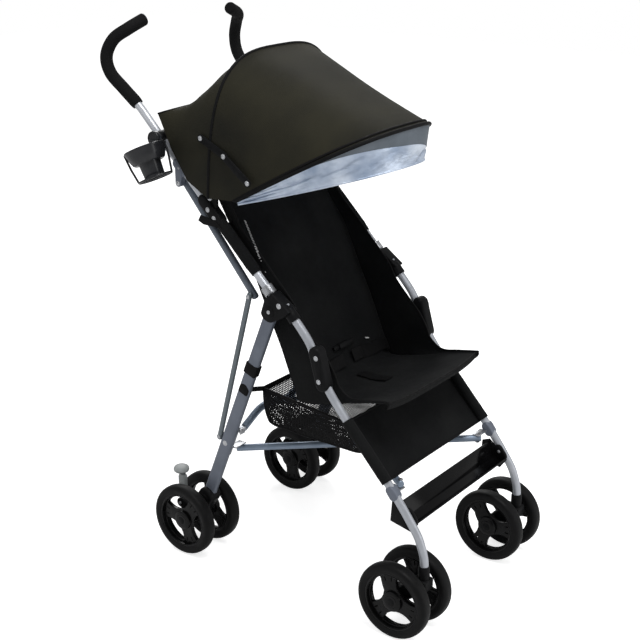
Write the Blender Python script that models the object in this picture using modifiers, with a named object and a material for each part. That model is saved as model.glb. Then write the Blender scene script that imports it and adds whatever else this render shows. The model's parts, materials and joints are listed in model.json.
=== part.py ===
"""Lightweight stroller: two side frames, trailing twin casters, crossed bars and a folding hood.

Metres, +Z up. The stroller faces -Y and the child's left side is +X.
Positions are written in the axle frame (Y = 0 midway between the axles, X = 0 on the middle
plane, Z = 0 on the floor) and world() moves them so that the whole object's box is centred.
"""
import math

import bmesh
import bpy
from mathutils import Matrix, Vector

# The whole object's box is centred on X = 0 and Y = 0 by these two offsets.
MID_X = 0.0229
MID_Y = -0.0605

GAP = 0.0003            # running clearance between fitted pieces
SIDES = {"right": -1, "left": 1}

# Wheels
WHEEL_R = 0.075
WHEEL_W = 0.0270
AXLE_R = 0.0040
FRONT_AXLE_Y = -0.2570
REAR_AXLE_Y = 0.2572
FRONT_X = 0.1745        # front tubes, casters and front wheel pairs
REAR_X = 0.1780         # rear legs and rear wheel pairs
FRONT_SPLAY = 0.0368    # wheel centre to pair centre
REAR_SPLAY = 0.0387

# Tubes
TUBE_R = 0.0080
TUBE_WALL = 0.0012
PUSH_X = 0.1760
GRIP_R = TUBE_R + 0.0042
GRIP_WALL = 0.0031
LINK_R = 0.0073
LINK_X = 0.1665
STAY_R = 0.0054
STAY_X = 0.1803
BAR_R = 0.0069
BRACE_R = 0.0075
LEG_DEPTH = 0.0265
LEG_WIDTH = 0.0150

# Joint points in the side view, as (y, z)
PUSH_A = (0.0450, 0.5888)       # push tube, lower end
PUSH_B = (0.3690, 0.9080)       # push tube where the handle bend begins
LEG_PIVOT = (0.0480, 0.5645)
LEG_FOOT = (0.2290, 0.1090)
LINK_TOP = (0.2680, 0.7760)
LINK_LOW = (0.1020, 0.5820)
STAY_LOW = (0.1860, 0.2700)
HOOD_PIVOT = (0.1900, 0.7600)
BRACE_PIVOT = (0.1485, 0.2860)
BRAKE_PIVOT = (0.2950, 0.0880)
STEM_Y = -0.2975
TUBE_END_Z = 0.1180
BAR_FRONT = (0.1420, -0.2190, 0.2740)
BAR_REAR = (0.1450, 0.1630, 0.2525)
BAR_STEP = 0.0160               # the left bar runs this far under the right one

PARTS = bpy.data.collections.new("lightweight_stroller")


def world(x, y, z):
    return Vector((x + MID_X, y + MID_Y, z))


def reset():
    for obj in list(bpy.data.objects):
        bpy.data.objects.remove(obj, do_unlink=True)
    bpy.context.scene.collection.children.link(PARTS)


def add(name, mesh):
    obj = bpy.data.objects.new(name, mesh)
    PARTS.objects.link(obj)
    return obj


def bake(obj):
    """Turn an object's evaluated shape into its own clean mesh."""
    graph = bpy.context.evaluated_depsgraph_get()
    graph.update()
    mesh = bpy.data.meshes.new_from_object(obj.evaluated_get(graph))
    name = obj.name
    matrix = obj.matrix_world.copy()
    bpy.data.objects.remove(obj, do_unlink=True)
    mesh.transform(matrix)
    clean(mesh)
    mesh.name = name
    return add(name, mesh)


def clean(mesh):
    bm = bmesh.new()
    bm.from_mesh(mesh)
    bmesh.ops.remove_doubles(bm, verts=bm.verts, dist=0.00002)
    bmesh.ops.recalc_face_normals(bm, faces=bm.faces)
    bm.to_mesh(mesh)
    bm.free()


def combine(obj, other, operation):
    mod = obj.modifiers.new("boolean", "BOOLEAN")
    mod.operation = operation
    mod.solver = "EXACT"
    mod.object = other
    bpy.context.view_layer.update()
    result = bake(obj)
    bpy.data.objects.remove(other, do_unlink=True)
    return result


def cut(obj, other):
    return combine(obj, other, "DIFFERENCE")


def fuse(obj, other):
    return combine(obj, other, "UNION")


def rod(name, path, radius, wall=0.0, bevel=3):
    """A round rod along world points, or a tube open at both ends when wall is given."""
    curve = bpy.data.curves.new(name, "CURVE")
    curve.dimensions = "3D"
    curve.bevel_depth = radius
    curve.bevel_resolution = bevel
    curve.use_fill_caps = wall == 0.0
    spline = curve.splines.new("POLY")
    spline.points.add(len(path) - 1)
    for point, place in zip(spline.points, path):
        point.co = (*place, 1.0)
    obj = bpy.data.objects.new(name, curve)
    PARTS.objects.link(obj)
    obj = bake(obj)
    if wall:
        mod = obj.modifiers.new("wall", "SOLIDIFY")
        mod.thickness = wall
        mod.offset = -1.0
        mod.use_even_offset = True
        obj = bake(obj)
    return obj


def prism(name, outline, x0, x1, bevel=0.0):
    """A plate cut to a (y, z) outline and spread from x0 to x1, all in the axle frame."""
    curve = bpy.data.curves.new(name, "CURVE")
    curve.dimensions = "2D"
    curve.fill_mode = "BOTH"
    curve.extrude = abs(x1 - x0) / 2
    spline = curve.splines.new("POLY")
    spline.points.add(len(outline) - 1)
    for point, (y, z) in zip(spline.points, outline):
        point.co = (y, z, 0.0, 1.0)
    spline.use_cyclic_u = True
    obj = bpy.data.objects.new(name, curve)
    PARTS.objects.link(obj)
    turn = Matrix(((0, 0, 1, 0), (1, 0, 0, 0), (0, 1, 0, 0), (0, 0, 0, 1)))
    obj.matrix_world = Matrix.Translation(world((x0 + x1) / 2, 0, 0)) @ turn
    bpy.context.view_layer.update()
    obj = bake(obj)
    if bevel:
        mod = obj.modifiers.new("edge", "BEVEL")
        mod.width = bevel
        mod.segments = 1
        mod.limit_method = "ANGLE"
        mod.angle_limit = math.radians(60)
        obj = bake(obj)
    return obj


def drum(name, start, end, radius, sides=12):
    """A cylinder between two world points."""
    bm = bmesh.new()
    along = end - start
    place = Matrix.Translation((start + end) / 2) @ along.to_track_quat("Z", "Y").to_matrix().to_4x4()
    bmesh.ops.create_cone(bm, cap_ends=True, segments=sides, radius1=radius, radius2=radius,
                          depth=along.length, matrix=place)
    mesh = bpy.data.meshes.new(name)
    bm.to_mesh(mesh)
    bm.free()
    return add(name, mesh)


def pin(name, y, z, x0, x1, radius, sides=8):
    return drum(name, world(x0, y, z), world(x1, y, z), radius, sides)


def box(name, low, high):
    bm = bmesh.new()
    low = world(*low)
    high = world(*high)
    size = Matrix.Diagonal((*(high - low), 1.0))
    bmesh.ops.create_cube(bm, size=1.0, matrix=Matrix.Translation((low + high) / 2) @ size)
    mesh = bpy.data.meshes.new(name)
    bm.to_mesh(mesh)
    bm.free()
    return add(name, mesh)


def turned(name, profile, centre, axis, steps=24):
    """A profile of (radius, height) points spun about an axis through centre."""
    mesh = bpy.data.meshes.new(name)
    verts = [(r, 0.0, h) for r, h in profile]
    count = len(verts)
    mesh.from_pydata(verts, [(i, (i + 1) % count) for i in range(count)], [])
    obj = add(name, mesh)
    mod = obj.modifiers.new("spin", "SCREW")
    mod.steps = steps
    mod.render_steps = steps
    mod.use_merge_vertices = True
    mod.merge_threshold = 0.00005
    obj.matrix_world = Matrix.Translation(centre) @ axis.to_track_quat("Z", "Y").to_matrix().to_4x4()
    bpy.context.view_layer.update()
    return bake(obj)


def arc(centre, radius, start, end, steps):
    return [(centre[0] + radius * math.cos(math.radians(start + (end - start) * i / steps)),
             centre[1] + radius * math.sin(math.radians(start + (end - start) * i / steps)))
            for i in range(steps + 1)]


def capsule(p, q, rp, rq=None, steps=4):
    """Outline of a strip from p to q with round ends."""
    rq = rp if rq is None else rq
    heading = math.degrees(math.atan2(q[1] - p[1], q[0] - p[0]))
    return (arc(q, rq, heading - 90, heading + 90, steps)
            + arc(p, rp, heading + 90, heading + 270, steps))


def toward(p, q, distance):
    length = math.hypot(q[0] - p[0], q[1] - p[1])
    return (p[0] + (q[0] - p[0]) * distance / length, p[1] + (q[1] - p[1]) * distance / length)


def band(s, x0, x1):
    """The same strip of x on either side of the middle plane, low value first."""
    return tuple(sorted((s * x0, s * x1)))


# Bodies: each has an empty on its joint, and its pieces are parented to that empty.
PIVOTS = {}


def body(name, point, parent=None):
    empty = bpy.data.objects.new(name + "_joint", None)
    empty.empty_display_size = 0.03
    PARTS.objects.link(empty)
    PIVOTS[name] = (empty, Vector(point))
    if parent:
        holder, origin = PIVOTS[parent]
        empty.parent = holder
        empty.location = Vector(point) - origin
    else:
        empty.location = point


def settle(obj, owner, material):
    """Hand a finished piece to its body, with its origin on that body's joint."""
    empty, point = PIVOTS[owner]
    obj.data.transform(Matrix.Translation(-point))
    obj.parent = empty
    obj.data.materials.clear()
    obj.data.materials.append(material)
    for poly in obj.data.polygons:
        poly.use_smooth = True
    obj.data.set_sharp_from_angle(angle=math.radians(35))
    return obj


def paint(name, colour, roughness, metallic):
    mat = bpy.data.materials.new(name)
    mat.use_nodes = True
    shader = mat.node_tree.nodes["Principled BSDF"]
    shader.inputs["Base Color"].default_value = (*colour, 1.0)
    shader.inputs["Roughness"].default_value = roughness
    shader.inputs["Metallic"].default_value = metallic
    mat.diffuse_color = (*colour, 1.0)
    return mat


reset()
SILVER = paint("silver_paint", (0.60, 0.62, 0.66), 0.35, 0.55)
LEG_GREY = paint("leg_grey_paint", (0.47, 0.49, 0.55), 0.40, 0.45)
LINK_GREY = paint("link_grey_paint", (0.30, 0.32, 0.37), 0.40, 0.45)
STEEL = paint("zinc_plate", (0.62, 0.63, 0.64), 0.30, 0.90)
PLASTIC = paint("black_plastic", (0.018, 0.018, 0.020), 0.45, 0.0)
GLOSS = paint("dark_gloss_plastic", (0.040, 0.042, 0.045), 0.22, 0.0)
TYRE = paint("black_wheel", (0.014, 0.014, 0.015), 0.55, 0.0)
FOAM = paint("black_foam", (0.020, 0.020, 0.022), 0.85, 0.0)
CLOTH = paint("black_cloth", (0.020, 0.021, 0.023), 0.90, 0.0)
HOOD = paint("hood_cloth", (0.030, 0.029, 0.026), 0.80, 0.0)
MESH = paint("pale_mesh", (0.55, 0.55, 0.55), 0.80, 0.0)
BRAKE_GREY = paint("brake_grey", (0.52, 0.53, 0.54), 0.45, 0.1)

# Bodies and their joints
body("centre", world(0, 0, 0))
for SIDE, S in SIDES.items():
    body("frame_" + SIDE, world(S * PUSH_X, *PUSH_A), "centre")
    body("leg_" + SIDE, world(S * REAR_X, *LEG_PIVOT), "frame_" + SIDE)
    body("link_" + SIDE, world(S * LINK_X, *LINK_TOP), "frame_" + SIDE)
    body("stay_" + SIDE, world(S * STAY_X, *STAY_LOW), "leg_" + SIDE)
    body("brace_" + SIDE, world(S * 0.160, *BRACE_PIVOT), "leg_" + SIDE)
    body("bar_" + SIDE, world(S * BAR_FRONT[0], BAR_FRONT[1], BAR_FRONT[2] - max(S, 0) * BAR_STEP),
         "frame_" + SIDE)
    body("caster_" + SIDE, world(S * FRONT_X, STEM_Y, TUBE_END_Z), "frame_" + SIDE)
    body("collar_" + SIDE, world(S * PUSH_X, 0.058, 0.6016), "frame_" + SIDE)
    body("brake_" + SIDE, world(S * REAR_X, *BRAKE_PIVOT), "leg_" + SIDE)
    for LAYER, SHIFT in (("inner", -1), ("outer", 1)):
        body("front_wheel_%s_%s" % (SIDE, LAYER),
             world(S * (FRONT_X + SHIFT * FRONT_SPLAY), FRONT_AXLE_Y, WHEEL_R), "caster_" + SIDE)
        body("rear_wheel_%s_%s" % (SIDE, LAYER),
             world(S * (REAR_X + SHIFT * REAR_SPLAY), REAR_AXLE_Y, WHEEL_R), "leg_" + SIDE)
body("hood", world(0, *HOOD_PIVOT), "centre")


# Handle: one curve carries the tube and the foam grip
PUSH_DIR = (math.cos(math.atan2(PUSH_B[1] - PUSH_A[1], PUSH_B[0] - PUSH_A[0])),
            math.sin(math.atan2(PUSH_B[1] - PUSH_A[1], PUSH_B[0] - PUSH_A[0])))


def on_push(y):
    """Point of the push tube's straight part at a given y."""
    return (y, PUSH_A[1] + (y - PUSH_A[0]) * PUSH_DIR[1] / PUSH_DIR[0])


HANDLE_BEND = [(0.1760, 0.3500, on_push(0.350)[1]), (0.1762, 0.3700, 0.9090), (0.1800, 0.4060, 0.9400),
               (0.1865, 0.4340, 0.9690), (0.1880, 0.4410, 1.0010), (0.1800, 0.4280, 1.0320),
               (0.1610, 0.4080, 1.0510), (0.1270, 0.3990, 1.0660)]


def handle(side, s):
    bend = [world(s * x, y, z) for x, y, z in HANDLE_BEND]
    start = world(s * PUSH_X, *PUSH_A)
    end = bend[-2].lerp(bend[-3], 0.15)
    tube = rod("push_tube_" + side, [start] + bend[:-2] + [end], TUBE_R, TUBE_WALL)
    settle(tube, "frame_" + side, SILVER)
    grip = rod("handle_grip_" + side, [bend[1].lerp(bend[2], 0.05)] + bend[2:], GRIP_R, GRIP_WALL)
    tip = bend[-1]
    heading = (bend[-1] - bend[-2]).normalized()
    plug = drum("plug", tip - heading * 0.0015, tip + heading * 0.0045, GRIP_R - 0.0010, 10)
    settle(fuse(grip, plug), "frame_" + side, FOAM)


# Front tube
FRONT_PATH = [(0.0200, 0.5790), (-0.0300, 0.5255), (-0.0480, 0.4930), (-0.0760, 0.4400),
              (-0.1215, 0.3850), (-0.2150, 0.2850), (-0.2740, 0.2100), (-0.2900, 0.1790),
              (-0.2970, 0.1520), (STEM_Y, TUBE_END_Z)]


def on_front(z):
    """Centre of the front tube at height z."""
    for (y0, z0), (y1, z1) in zip(FRONT_PATH, FRONT_PATH[1:]):
        if z1 <= z <= z0:
            return (y0 + (y1 - y0) * (z0 - z) / (z0 - z1), z)
    return FRONT_PATH[0]


def front_bore(s, top, low):
    """Cutter that follows the front tube between two heights, with running clearance."""
    middle = [(y, z) for y, z in FRONT_PATH if low < z < top]
    path = [world(s * FRONT_X, y, z) for y, z in [on_front(top), *middle, on_front(low)]]
    return rod("bore", path, (TUBE_R + GAP) / math.cos(math.pi / 10) + 0.0001)


def front_tube(side, s):
    path = [world(s * FRONT_X, y, z) for y, z in FRONT_PATH]
    settle(rod("front_tube_" + side, path, TUBE_R, 0.0015, bevel=2), "frame_" + side, SILVER)


def leg_outline(half, top=None, foot=None):
    """Side view of the rear leg: round at the pivot, square at the foot."""
    top = top or LEG_PIVOT
    foot = foot or LEG_FOOT
    heading = math.degrees(math.atan2(top[1] - foot[1], top[0] - foot[0]))
    nx = -math.sin(math.radians(heading))
    ny = math.cos(math.radians(heading))
    return arc(top, half, heading - 90, heading + 90, 5) + [
        (foot[0] + nx * half, foot[1] + ny * half), (foot[0] - nx * half, foot[1] - ny * half)]


def knuckle(side, s):
    """Black housing that joins the push tube, the front tube and the rear leg."""
    low = on_front(0.558)
    high = on_push(0.0505)
    outline = (arc(LEG_PIVOT, 0.0205, 250, 345, 5)
               + [(high[0] + 0.0087, high[1] - 0.0087), (high[0] - 0.0087, high[1] + 0.0087)]
               + [(low[0] - 0.0082, low[1] + 0.0073), (low[0] + 0.0078, low[1] - 0.0069)])
    x0, x1 = band(s, 0.1635, 0.1905)
    obj = prism("knuckle_" + side, outline, x0, x1, 0.002)
    start = world(s * FRONT_X, *FRONT_PATH[0])
    end = world(s * FRONT_X, *on_front(0.530))
    obj = cut(obj, drum("bore", start + (start - end).normalized() * GAP, end, TUBE_R + 2 * GAP, 14))
    base = Vector(world(s * PUSH_X, *PUSH_A))
    along = Vector((0, *PUSH_DIR))
    obj = cut(obj, drum("bore", base - along * GAP, base + along * 0.04, TUBE_R + 2 * GAP, 14))
    half = LEG_DEPTH / 2 + 0.0006
    foot = LEG_FOOT
    swing = math.radians(14)
    dy, dz = foot[0] - LEG_PIVOT[0], foot[1] - LEG_PIVOT[1]
    back = (LEG_PIVOT[0] + dy * math.cos(swing) - dz * math.sin(swing),
            LEG_PIVOT[1] + dy * math.sin(swing) + dz * math.cos(swing))
    xa, xb = band(s, REAR_X - LEG_WIDTH / 2 - GAP, REAR_X + LEG_WIDTH / 2 + GAP)
    for end in (foot, toward(LEG_PIVOT, ((foot[0] + back[0]) / 2, (foot[1] + back[1]) / 2), 0.4), back):
        obj = cut(obj, prism("slot", leg_outline(half, LEG_PIVOT, end), xa, xb))
    xa, xb = band(s, REAR_X - 0.0120, REAR_X + 0.0105)
    obj = fuse(obj, pin("pin", *LEG_PIVOT, xa, xb, 0.0030))
    for y, z in (LEG_PIVOT, (0.0235, 0.5812)):
        xa, xb = band(s, 0.1890, 0.1922)
        obj = fuse(obj, pin("rivet", y, z, xa, xb, 0.0040))
    settle(obj, "frame_" + side, PLASTIC)


def collar(side, s):
    """Ribbed lock collar that slides on the push tube above the knuckle."""
    half = 0.0088
    outer = 0.0120
    bore = TUBE_R + GAP + 0.0002
    profile = [(bore, half), (outer, half)]
    for k in range(3):
        top = half - 0.0032 - k * 0.0046
        profile += [(outer, top), (outer - 0.0008, top - 0.0012), (outer, top - 0.0024)]
    profile += [(outer, -half), (bore, -half)]
    obj = turned("lock_collar_" + side, profile, world(s * PUSH_X, *on_push(0.058)),
                 Vector((0, *PUSH_DIR)), 12)
    settle(obj, "collar_" + side, STEEL)


def side_clip(side, s):
    """Plastic clip that pins the seat side to the front tube."""
    a = on_front(0.505)
    b = on_front(0.447)
    x0, x1 = band(s, 0.1625, 0.1880)
    obj = prism("side_clip_" + side, capsule(a, b, 0.0125), x0, x1, 0.0025)
    obj = cut(obj, front_bore(s, 0.540, 0.425))
    settle(obj, "frame_" + side, PLASTIC)


def link_plate(side, s):
    """Stamped plate on the push tube that carries the side link's top pin."""
    c = on_push(0.2655)
    outline = capsule((c[0] - 0.007, c[1] - 0.0069), (c[0] + 0.007, c[1] + 0.0069), 0.0098)
    x0, x1 = band(s, 0.1665, 0.1862)
    obj = prism("link_plate_" + side, outline, x0, x1, 0.0015)
    ear0, ear1 = band(s, 0.1742, 0.1862)
    obj = fuse(obj, prism("ear", capsule(LINK_TOP, c, 0.0070, 0.0095), ear0, ear1))
    base = world(s * PUSH_X, *on_push(0.245))
    obj = cut(obj, drum("bore", base, world(s * PUSH_X, *on_push(0.290)), TUBE_R + GAP))
    xa, xb = band(s, 0.1572, 0.1800)
    obj = fuse(obj, pin("pin", *LINK_TOP, xa, xb, 0.0028))
    xa, xb = band(s, 0.1556, 0.1587)
    obj = fuse(obj, pin("head", *LINK_TOP, xa, xb, 0.0050))
    settle(obj, "frame_" + side, STEEL)


def side_link(side, s):
    top = toward(LINK_TOP, LINK_LOW, -0.0075)
    low = toward(LINK_LOW, LINK_TOP, -0.0080)
    obj = rod("side_link_" + side, [world(s * LINK_X, *top), world(s * LINK_X, *low)], LINK_R)
    obj = cut(obj, pin("hole", *LINK_TOP, s * (LINK_X - 0.012), s * (LINK_X + 0.012), 0.0028 + GAP))
    xa, xb = band(s, LINK_X, STAY_X + STAY_R + 0.0010)
    obj = fuse(obj, pin("pin", *LINK_LOW, xa, xb, 0.0018, 12))
    settle(obj, "link_" + side, LINK_GREY)


def leg_stay(side, s):
    top = toward(LINK_LOW, STAY_LOW, -0.0080)
    low = toward(STAY_LOW, LINK_LOW, -0.0070)
    obj = rod("leg_stay_" + side, [world(s * STAY_X, *top), world(s * STAY_X, *low)], STAY_R)
    obj = cut(obj, pin("hole", *LINK_LOW, s * (STAY_X - 0.010), s * (STAY_X + 0.010), 0.0028))
    obj = cut(obj, pin("hole", *STAY_LOW, s * (STAY_X - 0.010), s * (STAY_X + 0.010), 0.0020 + GAP))
    settle(obj, "stay_" + side, SILVER)


def rear_leg(side, s):
    x0, x1 = band(s, REAR_X - LEG_WIDTH / 2, REAR_X + LEG_WIDTH / 2)
    obj = prism("rear_leg_" + side, leg_outline(LEG_DEPTH / 2), x0, x1, 0.0045)
    start = toward(LEG_PIVOT, LEG_FOOT, 0.045)
    core = toward(LEG_FOOT, LEG_PIVOT, -0.01)
    xa, xb = band(s, REAR_X - LEG_WIDTH / 2 + 0.0016, REAR_X + LEG_WIDTH / 2 - 0.0016)
    obj = cut(obj, prism("hollow", leg_outline(LEG_DEPTH / 2 - 0.0040, start, core), xa, xb))
    obj = cut(obj, pin("hole", *LEG_PIVOT, s * (REAR_X - 0.012), s * (REAR_X + 0.012), 0.0030 + GAP))
    xa, xb = band(s, 0.1712, 0.1740)
    lug = prism("lug", capsule((STAY_LOW[0] - 0.020, STAY_LOW[1] - 0.004), STAY_LOW, 0.0085, 0.0058), xa, xb)
    obj = fuse(obj, lug)
    xa, xb = band(s, 0.1725, STAY_X + STAY_R + 0.0022)
    obj = fuse(obj, pin("pin", *STAY_LOW, xa, xb, 0.0020, 12))
    xa, xb = band(s, STAY_X + STAY_R + 0.0006, STAY_X + STAY_R + 0.0024)
    obj = fuse(obj, pin("head", *STAY_LOW, xa, xb, 0.0038, 12))
    obj = fuse(obj, leg_bracket(side, s))
    settle(obj, "leg_" + side, LEG_GREY)


def on_leg(z):
    t = (LEG_PIVOT[1] - z) / (LEG_PIVOT[1] - LEG_FOOT[1])
    return (LEG_PIVOT[0] + t * (LEG_FOOT[0] - LEG_PIVOT[0]), z)


def leg_bracket(side, s):
    """Plate on the leg's inner face with the brace's hinge ears and the crossed bar's tongue."""
    inner = REAR_X - LEG_WIDTH / 2
    x0, x1 = band(s, inner - 0.0025, inner + 0.0010)
    obj = prism("leg_bracket", capsule(on_leg(0.236), on_leg(0.292), 0.0115), x0, x1)
    for y in (BRACE_PIVOT[0] - 0.0072, BRACE_PIVOT[0] + 0.0047):
        xa, xb = band(s, 0.1556, inner - 0.0004)
        low = (xa, y, BRACE_PIVOT[1] - 0.0060)
        obj = fuse(obj, box("ear", low, (xb, y + 0.0025, BRACE_PIVOT[1] + 0.0060)))
    start = world(s * 0.160, BRACE_PIVOT[0] - 0.0070, BRACE_PIVOT[1])
    end = world(s * 0.160, BRACE_PIVOT[0] + 0.0070, BRACE_PIVOT[1])
    obj = fuse(obj, drum("pin", start, end, 0.0024, 12))
    level = BAR_REAR[2] - BAR_R - 0.0030 if s > 0 else BAR_REAR[2] - BAR_STEP + BAR_R + 0.0055
    xa, xb = band(s, BAR_REAR[0] - 0.007, inner - 0.0004)
    tongue = box("tongue", (xa, BAR_REAR[1] - 0.009, level - 0.0025), (xb, BAR_REAR[1] + 0.009, level))
    return fuse(obj, tongue)


def brace_half(side, s):
    """Half of the folding rear brace, hinged on its leg; the halves pass each other in the middle."""
    level = BRACE_PIVOT[1]
    lap = BRACE_R + 0.0004
    path = [(0.1505, 0.0, level + 0.0015), (0.1390, 0.0, level + 0.0070), (0.1030, 0.1, 0.3110),
            (0.0760, 0.5, 0.3160), (0.0500, 1.0, 0.3130), (0.0260, 1.0, 0.3060), (-0.0060, 1.0, 0.2950)]
    y = BRACE_PIVOT[0]
    points = [world(s * px, y + s * lap * share, pz) for px, share, pz in path]
    obj = rod("brace_half_" + side, points, BRACE_R)
    xa, xb = band(s, 0.1450, 0.1647)
    obj = fuse(obj, box("flat", (xa, y - 0.0042, level - 0.0058), (xb, y + 0.0042, level + 0.0060)))
    hole = drum("hole", world(s * 0.160, y - 0.02, level), world(s * 0.160, y + 0.02, level),
                0.0024 + GAP, 12)
    settle(cut(obj, hole), "brace_" + side, SILVER)


def bar_bracket(side, s):
    """Ring on the front tube with the tongue that carries a crossed bar."""
    c = on_front(0.2700)
    x0, x1 = band(s, 0.1640, 0.1850)
    obj = prism("bar_bracket_" + side, capsule(toward(c, on_front(0.28), -0.006),
                                               toward(c, on_front(0.28), 0.006), 0.0108), x0, x1, 0.0015)
    upper = s < 0
    rest = 0.0009
    level = BAR_FRONT[2] - BAR_R - rest if upper else BAR_FRONT[2] - BAR_STEP + BAR_R + rest + 0.0025
    y0 = BAR_FRONT[1] - 0.008
    xa, xb = band(s, BAR_FRONT[0] - 0.0075, 0.1660)
    obj = fuse(obj, box("tongue", (xa, y0, level - 0.0025), (xb, y0 + 0.016, level)))
    obj = cut(obj, front_bore(s, 0.300, 0.240))
    x = s * BAR_FRONT[0]
    if upper:
        ends = (level - 0.001, BAR_FRONT[2] + BAR_R + 0.0022)
        head = (ends[1] - 0.0018, ends[1])
    else:
        ends = (BAR_FRONT[2] - BAR_STEP - BAR_R - 0.0022, level - 0.001)
        head = (ends[0], ends[0] + 0.0018)
    tilt = bar_axis(s)
    centre = world(x, BAR_FRONT[1], BAR_FRONT[2] - (0 if upper else BAR_STEP))
    lift = [(z - centre.z) / tilt.z for z in (*ends, *head)]
    obj = fuse(obj, drum("pin", centre + tilt * lift[0], centre + tilt * lift[1], 0.0024, 12))
    obj = fuse(obj, drum("head", centre + tilt * lift[2], centre + tilt * lift[3], 0.0048, 12))
    settle(obj, "frame_" + side, STEEL)


def bar_axis(s):
    """Axis that a crossed bar turns about as the frame closes, tilted a little off the vertical."""
    return Vector((-0.1998 * s, -0.1131, 0.9733)).normalized()


def cross_bar(side, s):
    """Bar from this side's front bracket to the other side's rear leg."""
    drop = 0.0 if s < 0 else BAR_STEP
    front = Vector((s * BAR_FRONT[0], BAR_FRONT[1], BAR_FRONT[2] - drop))
    rear = Vector((-s * BAR_REAR[0], BAR_REAR[1], BAR_REAR[2] - drop))
    along = (rear - front).normalized()
    a = front - along * 0.007
    b = rear + along * 0.008
    obj = rod("cross_bar_" + side, [world(*a), world(*b)], BAR_R)
    tilt = bar_axis(s)
    f = world(*front)
    obj = cut(obj, drum("hole", f - tilt * 0.02, f + tilt * 0.02, 0.0024 + GAP, 12))
    hub = front + along * ((0 - front.x) / along.x)
    h = world(*hub)
    if s < 0:
        obj = fuse(obj, drum("hub_pin", h - Vector((0, 0, BAR_STEP + 0.006)), h, 0.0019, 12))
    else:
        obj = fuse(obj, drum("boss", h - Vector((0, 0, 0.0055)), h + Vector((0, 0, 0.0055)), 0.0105, 12))
        obj = cut(obj, drum("hole", h - Vector((0, 0, 0.02)), h + Vector((0, 0, 0.02)), 0.0066, 12))
    settle(obj, "bar_" + side, SILVER)


def footrest_bracket(side, s):
    """Plate on the front tube that the footrest band is riveted to."""
    outline = [(-0.2150, 0.2050), (-0.2180, 0.2460), (-0.2350, 0.2530), (-0.2700, 0.2240),
               (-0.2760, 0.2170), (-0.2610, 0.1960)]
    x0, x1 = band(s, FRONT_X - TUBE_R - 0.0030, FRONT_X - TUBE_R - 0.0010)
    obj = prism("footrest_bracket_" + side, outline, x0, x1)
    c = on_front(0.2280)
    xa, xb = band(s, FRONT_X - TUBE_R - 0.0022, FRONT_X + 0.0100)
    ends = (toward(c, on_front(0.24), -0.006), toward(c, on_front(0.24), 0.006))
    clamp = prism("clamp", capsule(*ends, 0.0096), xa, xb)
    obj = fuse(obj, clamp)
    obj = cut(obj, front_bore(s, 0.265, 0.203))
    settle(obj, "frame_" + side, PLASTIC)


def axle_housing(side, s):
    """Plastic foot of the rear leg with the fixed axle and the brake lever's seat."""
    x0, x1 = band(s, REAR_X - 0.0165, REAR_X + 0.0165)
    axle = (REAR_AXLE_Y, WHEEL_R)
    obj = prism("axle_housing_" + side, capsule(on_leg(0.128), axle, 0.0180, 0.0165), x0, x1, 0.003)
    xa, xb = band(s, REAR_X - 0.0120, REAR_X + 0.0120)
    arm = prism("arm", capsule(axle, BRAKE_PIVOT, 0.0130, 0.0105), xa, xb)
    obj = fuse(obj, arm)
    xa, xb = band(s, REAR_X - LEG_WIDTH / 2 - GAP, REAR_X + LEG_WIDTH / 2 + GAP)
    foot = toward(LEG_FOOT, LEG_PIVOT, -GAP)
    obj = cut(obj, prism("socket", leg_outline(LEG_DEPTH / 2 + GAP, LEG_PIVOT, foot), xa, xb))
    xa, xb = band(s, REAR_X - 0.0065, REAR_X + 0.0065)
    slot = prism("slot", arc(BRAKE_PIVOT, 0.0125, -180, 180, 10)[:-1], xa, xb)
    obj = cut(obj, slot)
    xa, xb = band(s, REAR_X - 0.0118, REAR_X + 0.0118)
    obj = fuse(obj, pin("pin", *BRAKE_PIVOT, xa, xb, 0.0028))
    reach = REAR_SPLAY + 0.0122
    obj = fuse(obj, pin("axle", *axle, s * (REAR_X - reach), s * (REAR_X + reach), AXLE_R))
    for side_x in (-1, 1):
        xa, xb = sorted((s * (REAR_X + side_x * (REAR_SPLAY + 0.0108)), s * (REAR_X + side_x * reach)))
        obj = fuse(obj, pin("cap", *axle, xa, xb, 0.0085))
    settle(obj, "leg_" + side, PLASTIC)


def brake_lever(side, s):
    x0, x1 = band(s, REAR_X - 0.0060, REAR_X + 0.0060)
    outline = capsule(BRAKE_PIVOT, (0.2955, 0.1440), 0.0078, 0.0085)
    obj = prism("brake_lever_" + side, outline, x0, x1, 0.0015)
    centre = world(s * REAR_X, 0.2985, 0.1620)
    face = Vector((0, 0.45, 0.89)).normalized()
    pad = turned("pad", [(0.0, 0.0055), (0.0150, 0.0045), (0.0190, 0.0015), (0.0190, -0.0020),
                         (0.0130, -0.0060), (0.0, -0.0110)], centre, face, 14)
    shrink = (Matrix.Translation(centre) @ Matrix.Diagonal((0.95, 0.78, 1.0, 1.0))
              @ Matrix.Translation(-centre))
    pad.data.transform(shrink)
    obj = fuse(obj, pad)
    obj = cut(obj, pin("hole", *BRAKE_PIVOT, s * (REAR_X - 0.010), s * (REAR_X + 0.010), 0.0028 + GAP))
    settle(obj, "brake_" + side, BRAKE_GREY)


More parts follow.
